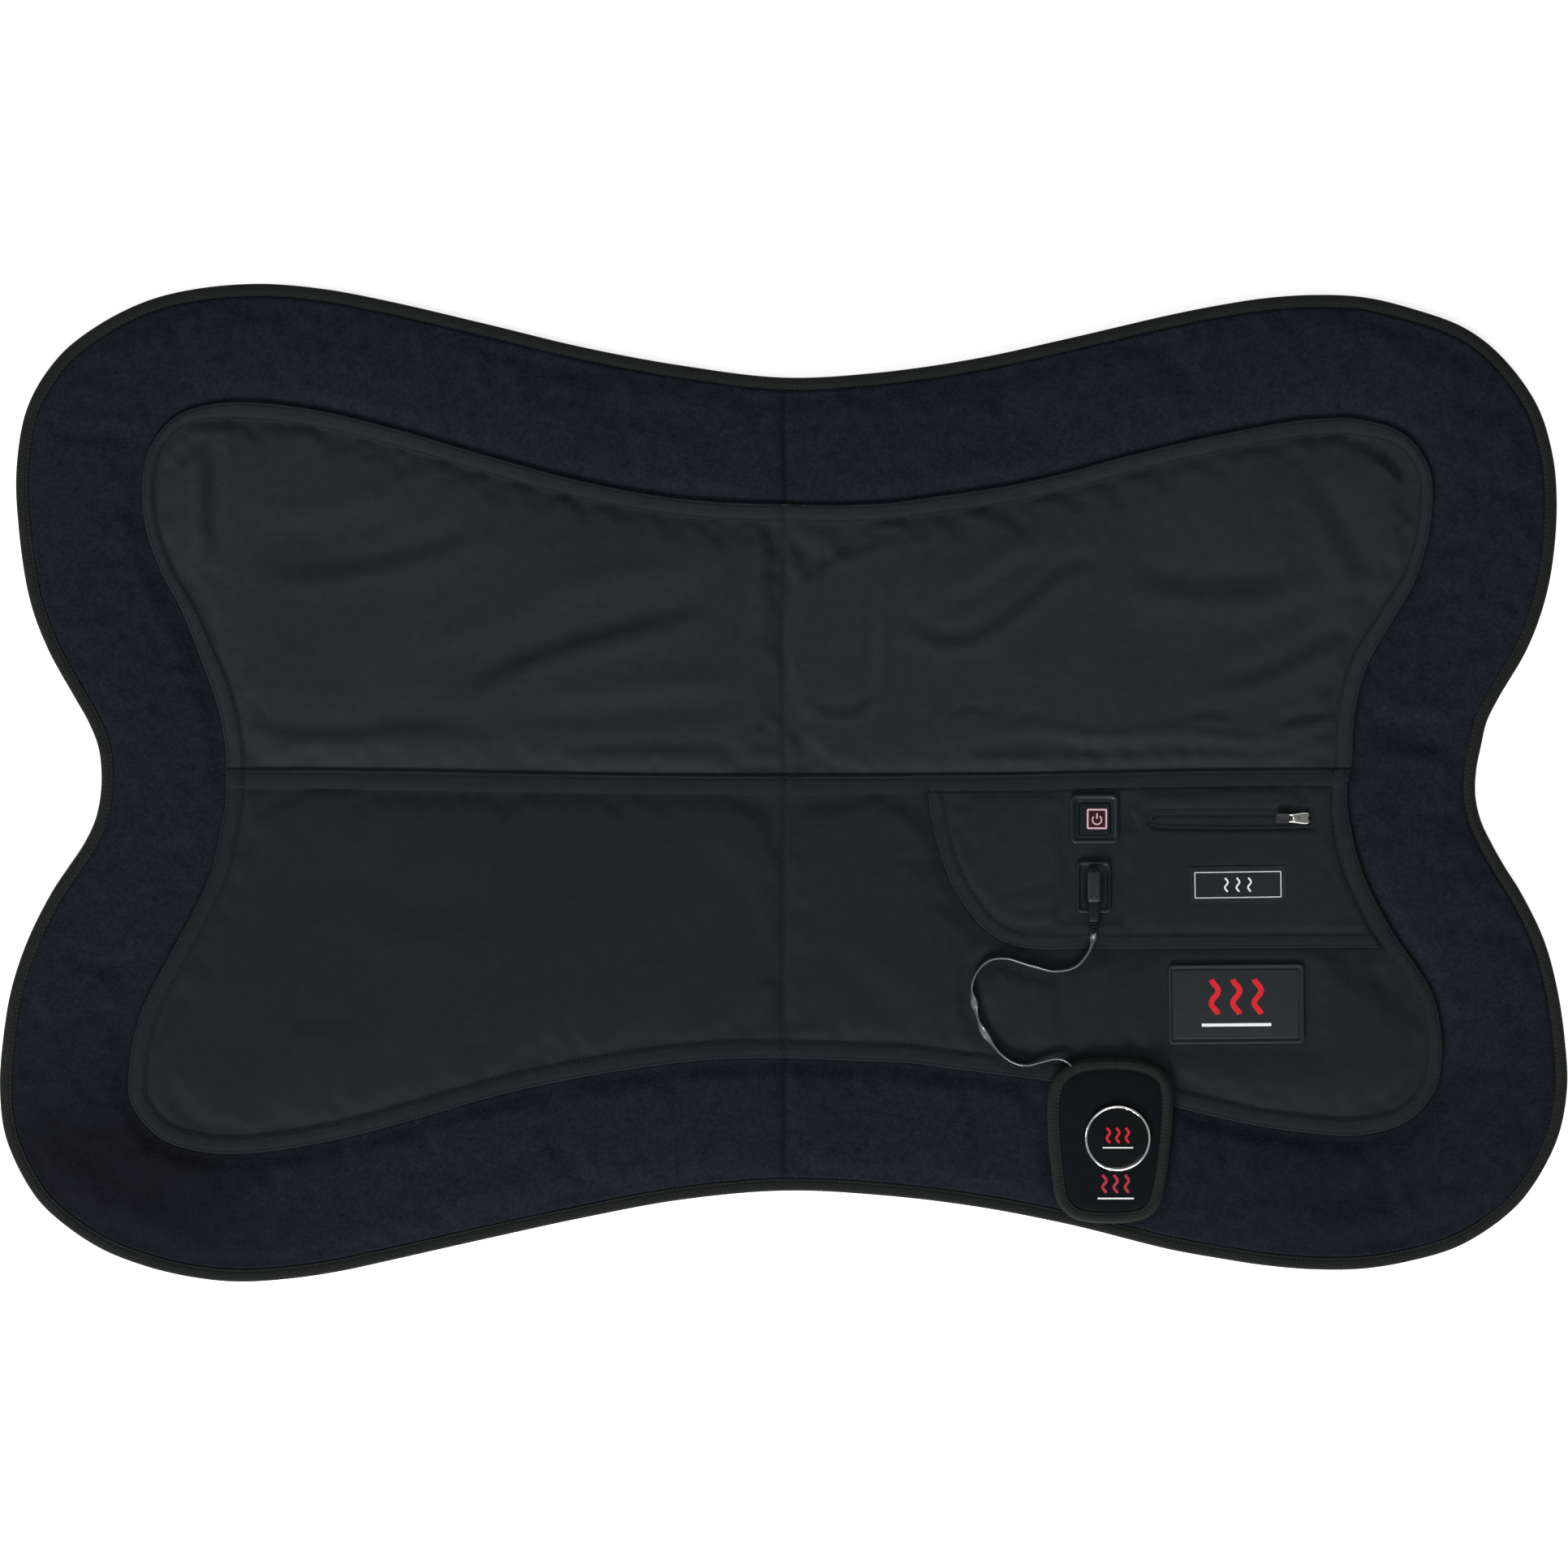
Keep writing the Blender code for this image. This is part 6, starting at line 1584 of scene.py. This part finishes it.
n_s = len(slider_loop(0))
slider = join("slider_shell", [
    loft("plate", [(slider_loop(0.5), 9.28), (slider_loop(0.15), 9.34), (slider_loop(0.0), 9.55), (slider_loop(0.05), 9.95),
                   (slider_loop(0.35), 10.28), (slider_loop(0.9), 10.42)], ZIP_METAL),
    loft("foot", [(slider_loop(0.9), 8.62), (slider_loop(0.5), 8.66), (slider_loop(0.45), 8.95), (slider_loop(0.8), 9.0)], ZIP_METAL),
    loft("post", [(rr(313.2, ZY, 3.6, 2.0, 0.8, 4, 1), 8.9), (rr(313.2, ZY, 3.6, 2.0, 0.8, 4, 1), 9.4)], ZIP_METAL),
    sweep("bridge", *(lambda t: (np.column_stack([309.9 + 2.35 * np.cos(t), np.full(len(t), ZY), 10.15 + 2.35 * np.sin(t) * 1.02]),
                                 np.tile([0.0, 1.0, 0.0], (len(t), 1)),
                                 np.column_stack([np.cos(t), np.zeros(len(t)), np.sin(t)])))(np.linspace(-0.12, math.pi + 0.12, 22)),
          np.array([(-0.95, -0.42), (0.95, -0.42), (0.95, 0.22), (0.7, 0.42), (-0.7, 0.42), (-0.95, 0.22)]), False, ZIP_METAL)])
eye = []
t = np.linspace(0, 2 * math.pi, 28, endpoint=False)
ring_pts = np.column_stack([306.9 + 3.3 * np.cos(t), ZY + 2.1 * np.sin(t), np.full(28, 11.7)])
tg = np.roll(ring_pts, -1, 0) - np.roll(ring_pts, 1, 0)
tg = tg / np.linalg.norm(tg, axis=1)[:, None]
l3 = np.column_stack([-tg[:, 1], tg[:, 0], np.zeros(28)])
pr = np.array([(0.48 * math.cos(a), 0.48 * math.sin(a)) for a in np.linspace(0, 2 * math.pi, 8, endpoint=False)])
eye.append(sweep("eye", ring_pts, l3, np.tile([0.0, 0, 1], (28, 1)), pr, True, ZIP_METAL, 60))
tab = [(rr(301.9, ZY, w, h, r, 5, 2), z) for w, h, r, z in
       ((7.6, 4.9, 1.3, 10.62), (8.3, 5.6, 1.6, 10.75), (8.6, 5.9, 1.7, 11.15), (8.6, 5.9, 1.7, 12.0), (8.3, 5.6, 1.6, 12.28),
        (7.4, 4.7, 1.2, 12.38), (6.4, 3.7, 0.9, 12.30), (6.0, 3.3, 0.8, 12.22))]
eye.append(loft("tab", tab, PULL_GREY))
puller = join("puller_tab", eye)

# ----------------------------------------------------------------------------- woven label and moulded patch
def turn(P, c, deg):
    a = math.radians(deg)
    d = np.asarray(P, float) - c
    return np.column_stack([d[:, 0] * math.cos(a) - d[:, 1] * math.sin(a), d[:, 0] * math.sin(a) + d[:, 1] * math.cos(a)]) + c


LC = np.array([275.0, -61.7])
label_loop = turn(rr(LC[0], LC[1], 59.0, 22.0, 0.5, 2, 14), LC, 0.8)
L_LABEL = Line(label_loop, True, 0.5)


def label_top(P):
    n = L_LABEL.near(P)[0]
    return np.clip(pocket_top(P) + 0.52 - 0.10 * bump(n, 1.1, 0.35) + 0.04 * np.sin(P[:, 0] * 2.1), 8.95, 9.75)


label_extra = np.vstack([offset(label_loop, v) for v in (0.4, 0.8, 1.1, 1.5, 2.2)])
label = sheet_piece("label_cloth", [label_loop], label_extra, 1.3, label_top, 0.4, LABEL_CLOTH,
                    bottom=lambda P: label_top(P) - 0.45)
marks = []


def on_label(pts, w, mat):
    q = even(turn(pts, LC, 0.8), False, 0.7)
    z = label_top(q)
    t = np.gradient(q, axis=0)
    t = t / np.linalg.norm(t, axis=1)[:, None]
    l3 = np.column_stack([-t[:, 1], t[:, 0], np.zeros(len(q))])
    pr = np.array([(-w / 2, -0.1), (w / 2, -0.1), (w / 2 - 0.06, 0.10), (0, 0.14), (-w / 2 + 0.06, 0.10)])
    return sweep("m", np.column_stack([q, z]), l3, np.tile([0.0, 0, 1], (len(q), 1)), pr, False, mat)


# a plain woven frame line with three small heat waves in its middle
for k in (-1, 0, 1):
    yy = np.linspace(-4.2, 4.2, 22)
    marks.append(on_label(np.column_stack([LC[0] + 7.0 * k + 0.95 * np.sin(yy * 0.95), LC[1] + yy]), 1.1, LABEL_THREAD))
for x0, y0, x1, y1 in ((-26.0, 7.7, 26.0, 7.7), (-26.0, -7.7, 26.0, -7.7), (-26.0, -7.7, -26.0, 7.7), (26.0, -7.7, 26.0, 7.7)):
    marks.append(on_label(LC + np.array([(x0, y0), ((x0 + x1) / 2, (y0 + y1) / 2), (x1, y1)]), 0.55, LABEL_THREAD))
label_mark = join("label_threads", marks)
label_stitch = stitches("label_stitches", [(offset(label_loop, 1.1), True)], label_top, THREAD_DARK, 1.5, 2.1, 0.17, 0.04)

PC = np.array([274.0, -134.0])


def pl(w, h, r):
    return turn(rr(PC[0], PC[1], w, h, r, 5, 5), PC, 0.5)


patch = loft("patch_mold", [
    (pl(81.4, 47.5, 2.4), 7.95), (pl(82.0, 48.1, 2.6), 8.3), (pl(82.0, 48.1, 2.6), 9.35), (pl(81.6, 47.7, 2.5), 9.78),
    (pl(80.8, 46.9, 2.2), 9.98), (pl(79.4, 45.5, 1.9), 9.98), (pl(78.5, 44.6, 1.6), 9.78), (pl(78.0, 44.1, 1.4), 9.25),
    (pl(77.6, 43.7, 1.3), 9.05), (pl(75.7, 41.8, 1.0), 9.05), (pl(75.5, 41.6, 0.9), 9.2), (pl(75.3, 41.4, 0.9), 9.45),
    (pl(74.9, 41.0, 0.8), 9.58), (pl(74.2, 40.3, 0.7), 9.62)], PATCH_BLACK)
# ----------------------------------------------------------------------------- hand pad
HW = 6.5


def hand_top(P):
    n = L_HAND.near(P)[0]
    z = 15.12 + 0.42 * smooth(HW - 0.4, HW + 7, n) + 0.30 * smooth(HW + 4, HW + 24, n)
    z = z - 0.20 * bump(n, HW + 0.5, 0.9)
    z = z + (0.16 * noise2(P, 17, 101) + 0.07 * noise2(P, 7, 102)) * smooth(HW, HW + 6, n)
    away = np.hypot(P[:, 0] - PUCK_C[0], P[:, 1] - PUCK_C[1]) - PUCK_R
    return np.minimum(z, 15.86) - 0.10 * bump(away, 1.2, 1.5)


hand_in = offset(hand, HW - 1.6)
hand_extra = np.vstack([offset(hand, v) for v in (5.6, 6.2, 6.7, 7.2, 7.8, 8.8, 10.0)] +
                       [np.column_stack([PUCK_C[0] + r * np.cos(np.linspace(0, 6.2832, 70, endpoint=False)),
                                         PUCK_C[1] + r * np.sin(np.linspace(0, 6.2832, 70, endpoint=False))]) for r in (19.6, 20.4, 21.4, 22.6)])
hand_face = sheet_piece("hand_face_cover", [hand_in], hand_extra, 1.8, hand_top, 0.5, HAND_FACE,
                        bottom=lambda P: np.maximum(hand_top(P) - 0.55, 14.66))

dl = np.roll(hand, -1, 0) - np.roll(hand, 1, 0)
dl = dl / np.linalg.norm(dl, axis=1)[:, None]
lefth = np.column_stack([-dl[:, 1], dl[:, 0], np.zeros(len(hand))])


def hand_profile(w, z0, z1, t):
    out = [(w, z0 + 0.05), (w - 0.8, z0), (3.2, z0)]
    out += [(3.0 + 3.0 * math.cos(a), z0 + 3.2 + 3.2 * math.sin(a)) for a in np.linspace(-math.pi / 2 - 0.1, -math.pi + 0.1, 6)]
    out += [(3.0 + 3.0 * math.cos(a), z1 - 3.4 + 3.4 * math.sin(a)) for a in np.linspace(math.pi - 0.1, math.pi / 2 + 0.1, 8)]
    out += [(3.6, z1 + 0.08), (4.8, z1 - 0.02), (5.5, z1 - 0.14), (5.85, z1 - 0.38), (6.2, z1 - 0.16), (w, z1 - 0.2),
            (w + 0.08, z1 - 0.4), (w, z1 - 0.5)]
    return np.array(out + [(5.8, z1 - 0.85), (3.8, z1 - t - 0.1), (1.6, z1 - 3.0), (1.2, (z0 + z1) / 2), (1.6, z0 + 2.4), (3.4, z0 + t), (w, z0 + t)])


hp = hand_profile(HW, 8.02, 15.75, 0.55)
hps = np.repeat(hp[None], len(hand), 0)
s_hand = np.concatenate([[0], np.cumsum(np.linalg.norm(np.diff(hand, axis=0), axis=1))])
join_at = s_hand[np.argmin(np.hypot(hand[:, 0] - 186.6, hand[:, 1] + 167.0))]
lap = smooth(join_at - 0.2, join_at + 0.9, s_hand) * smooth(join_at + 12, join_at + 8, s_hand)
out_skin = np.arange(len(hp)) < 26
hps[:, out_skin, 1] += np.where(hp[None, out_skin, 1] > 11, 1, -0.0) * (0.30 * lap[:, None] + 0.10 * noise2(hand, 6.0, 111)[:, None])
hps[:, out_skin, 0] -= np.where(hp[None, out_skin, 0] < 2.0, 0.22, 0) * lap[:, None]
hand_binding = sweep("hand_edge_binding", np.column_stack([hand, np.zeros(len(hand))]), lefth,
                     np.tile([0.0, 0, 1.0], (len(hand), 1)), hps, True, HAND_TAPE, uv=True)
hand_stitch = stitches("hand_stitches", [(offset(hand, 5.85), True)],
                       lambda P: 15.42 + 0.30 * np.interp(L_HAND.near(P)[1], s_hand, lap), THREAD, 1.9, 2.6, 0.22)
low_loop = offset(hand, HW + 0.1)
hw_hole = rr(HC[0], HC[1], 42.0, 52.0, 4.0, 4, 14)
L_HWIN = Line(hw_hole, True, 0.5)
hand_lining = sheet_piece("hand_lining_cloth", [offset(hand, HW - 1.2), hw_hole],
                          np.vstack([offset(hw_hole, -v) for v in (0.6, 1.2, 1.8, 2.6)]), 2.6,
                          lambda P: 8.66 + 0 * P[:, 0], 0.5, LINING_MAT,
                          bottom=lambda P: 8.08 + 0.18 * bump(-L_HWIN.near(P)[0], 1.2, 0.6) + 0.05 * (1 + noise2(P, 11, 121)))
hand_film = loft("hand_film", [(rr(HC[0], HC[1], 40.0, 50.0, 3.6, 5, 6), 8.34), (rr(HC[0], HC[1], 43.0, 53.0, 4.1, 5, 6), 8.58),
                               (rr(HC[0], HC[1], 44.4, 54.4, 4.6, 5, 6), 8.70), (rr(HC[0], HC[1], 44.4, 54.4, 4.6, 5, 6), 8.80)], FILM)
hand_leds = []
for i in range(4):
    for j in range(5):
        x, y = HC[0] + (i - 1.5) * 10, HC[1] + (j - 2) * 10
        hand_leds.append(loft("lens", [(rr(x, y, 1.2, 0.8, 0.38, 3, 0), 8.83), (rr(x, y, 2.5, 1.8, 0.8, 3, 0), 8.85),
                                       (rr(x, y, 2.9, 2.2, 0.9, 3, 0), 8.89)], LENS))
hand_leds = join("hand_leds", hand_leds)

# puck: low glossy dome in a bright ring
puck = turned("puck_dome", PUCK_C, [(0, 19.05), (4, 19.02), (8, 18.92), (12, 18.72), (15, 18.48), (17.2, 18.22), (18.0, 18.05),
                                    (18.35, 17.85), (18.35, 15.95), (0, 15.95)], 96, PUCK_BLACK)
ring = turned("puck_bright_ring", PUCK_C, [(18.45, 15.92), (18.45, 18.05), (18.55, 18.28), (18.80, 18.42), (19.15, 18.46), (19.50, 18.36),
                                           (19.78, 18.10), (19.90, 17.70), (19.90, 16.6), (20.05, 16.1), (20.1, 15.92)], 96, CHROME)
dome_z = lambda r: np.interp(r, [0, 4, 8, 12, 15, 17.2], [19.05, 19.02, 18.92, 18.72, 18.48, 18.22])


def on_surface(name, pts, w, mat, zf, h=0.09):
    q = even(np.asarray(pts, float), False, 0.6)
    z = zf(q)
    t = np.gradient(q, axis=0)
    t = t / np.linalg.norm(t, axis=1)[:, None]
    l3 = np.column_stack([-t[:, 1], t[:, 0], np.zeros(len(q))])
    pr = np.array([(-w / 2, -0.06), (w / 2, -0.06), (w / 2 - 0.04, h - 0.02), (0, h), (-w / 2 + 0.04, h - 0.02)])
    return sweep(name, np.column_stack([q, z]), l3, np.tile([0.0, 0, 1], (len(q), 1)), pr, False, mat)


def dome_top(P):
    return dome_z(np.hypot(P[:, 0] - PUCK_C[0], P[:, 1] - PUCK_C[1]))


def emblem(cx, cy, k, zf, red, h=0.12, deg=0.0):
    """Plain generic emblem: three separate heat waves, centred, over one straight pale rule."""
    c = np.array([cx, cy])
    out = []
    yy = np.linspace(-6.0, 15.0, 30)
    for x in (-13.0, 0.0, 13.0):
        out.append(on_surface("b", turn(np.column_stack([x + 2.1 * np.sin((yy - 4.5) * 0.42), yy]) * k + c, c, deg),
                              max(3.4 * k, 0.5), red, zf, h))
    out.append(on_surface("b", turn(np.array([(-21.0, -12.5), (0.0, -12.5), (21.0, -12.5)]) * k + c, c, deg),
                          max(1.9 * k, 0.5), PRINT_WHITE, zf, h))
    return out


patch_mark = join("patch_emblem", emblem(PC[0], PC[1], 1.0, lambda P: np.full(len(P), 9.63), PRINT_RED, 0.14, 0.5))
puck_mark = join("puck_emblem", emblem(PUCK_C[0], PUCK_C[1], 0.44, dome_top, PRINT_RED, 0.10))
hand_mark = join("hand_emblem", emblem(200.6, -244.6, 0.52, hand_top, PRINT_RED_DIM))

# ----------------------------------------------------------------------------- finishes of the CAD pieces that stay
KEEP = {"control_box": CASE, "control_lid": CASE, "main_board": PCB, "tact_switch": COIL_BLACK, "usb_port": STEEL,
        "plug_shell": STEEL, "battery_pack": CELL, "battery_lead": WIRE_MAT, "hand_pad_foam": FOAM_MAT,
        "hand_pad_led_board": BOARD_WHITE}
for name, _, _ in STRIPS:
    KEEP["led_strip_" + name] = BOARD_WHITE
for node, mat in KEEP.items():
    o = NODES[node]
    if not o.material_slots:
        o.data.materials.append(mat)
    for sl in o.material_slots:
        sl.material = mat
    mod = o.modifiers.new("edges", "BEVEL")
    mod.width = 0.00012 if node in ("usb_port", "plug_shell") or node.startswith(("led_strip", "hand_pad_led")) else 0.0003
    mod.segments = 2
    mod.limit_method = "ANGLE"

for o in (border, foam, lining, lining_stitch, binding, binding_stitch, upper, lower, cover_stitch, harness):
    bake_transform(o)
for o in (pocket, pocket_stitch, bezel, tray, zip_tapes, zip_coil, label, label_mark, label_stitch, patch, patch_mark,
          hand_face, hand_binding, hand_stitch, hand_lining, hand_film, hand_leds, puck, ring, puck_mark, hand_mark):
    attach(o, RIGHT)
for o in (key, guide, lens_plate, icon):
    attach(o, "power_key")
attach(slider, "zip_runner")
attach(puller, "zip_pull")
for o in (plug, nose, neck):
    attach(o, "cord_plug")
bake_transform(cable)
for film, node, x in films:
    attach(film, RIGHT if x > 0 else LEFT)
    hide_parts(node)
for leds, x in lens_sets:
    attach(leds, RIGHT if x > 0 else LEFT)

for o, nodes in ((border, ("border_right", "border_left")), (foam, ("foam_right", "foam_left")),
                 (lining, ("lining_right", "lining_left")), (binding, ("binding_right", "binding_left")),
                 (upper, ("upper_cover_right", "upper_cover_left")), (lower, ("lower_cover_right", "lower_cover_left")),
                 (pocket, ("pocket_panel",)), (harness, ("harness_right", "harness_left")), (bezel, ("button_bezel",)),
                 (key, ("power_button",)), (guide, ("button_light_guide",)), (tray, ("socket_frame",)), (plug, ("plug_body",)),
                 (cable, ("flat_cable",)), (zip_tapes, ("zip_tape_upper", "zip_tape_lower")), (zip_coil, ("zip_coil",)),
                 (slider, ("zip_slider",)), (puller, ("zip_puller",)), (label, ("woven_label",)), (patch, ("rubber_patch",)),
                 (hand_face, ("hand_pad_face",)), (hand_binding, ("hand_pad_binding",)), (hand_lining, ("hand_pad_lining",)),
                 (hand_film, ("hand_pad_window",)), (puck, ("puck_cover",)), (ring, ("puck_ring",))):
    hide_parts(*nodes)


def flat_size(loop):
    w, h = (loop.max(0) - loop.min(0)) * MM
    return (float(w), float(h)), abs(area(loop)) * 1e-6


for o, loop, rests, extra_pieces, held in (
        (upper, upper_loop, ["foam_core"], [], "stretched"), (lower, lower_loop, ["foam_core"], [cover_stitch], "stretched"),
        (pocket, pocket_outline, ["lower_cover_cloth"], [pocket_stitch], "stretched"),
        (lining, lining_edge, ["foam_core"], [lining_stitch], "stretched"),
        (label, label_loop, ["pocket_cloth"], [label_stitch, label_mark], "laid")):
    flat_wh, a = flat_size(loop)
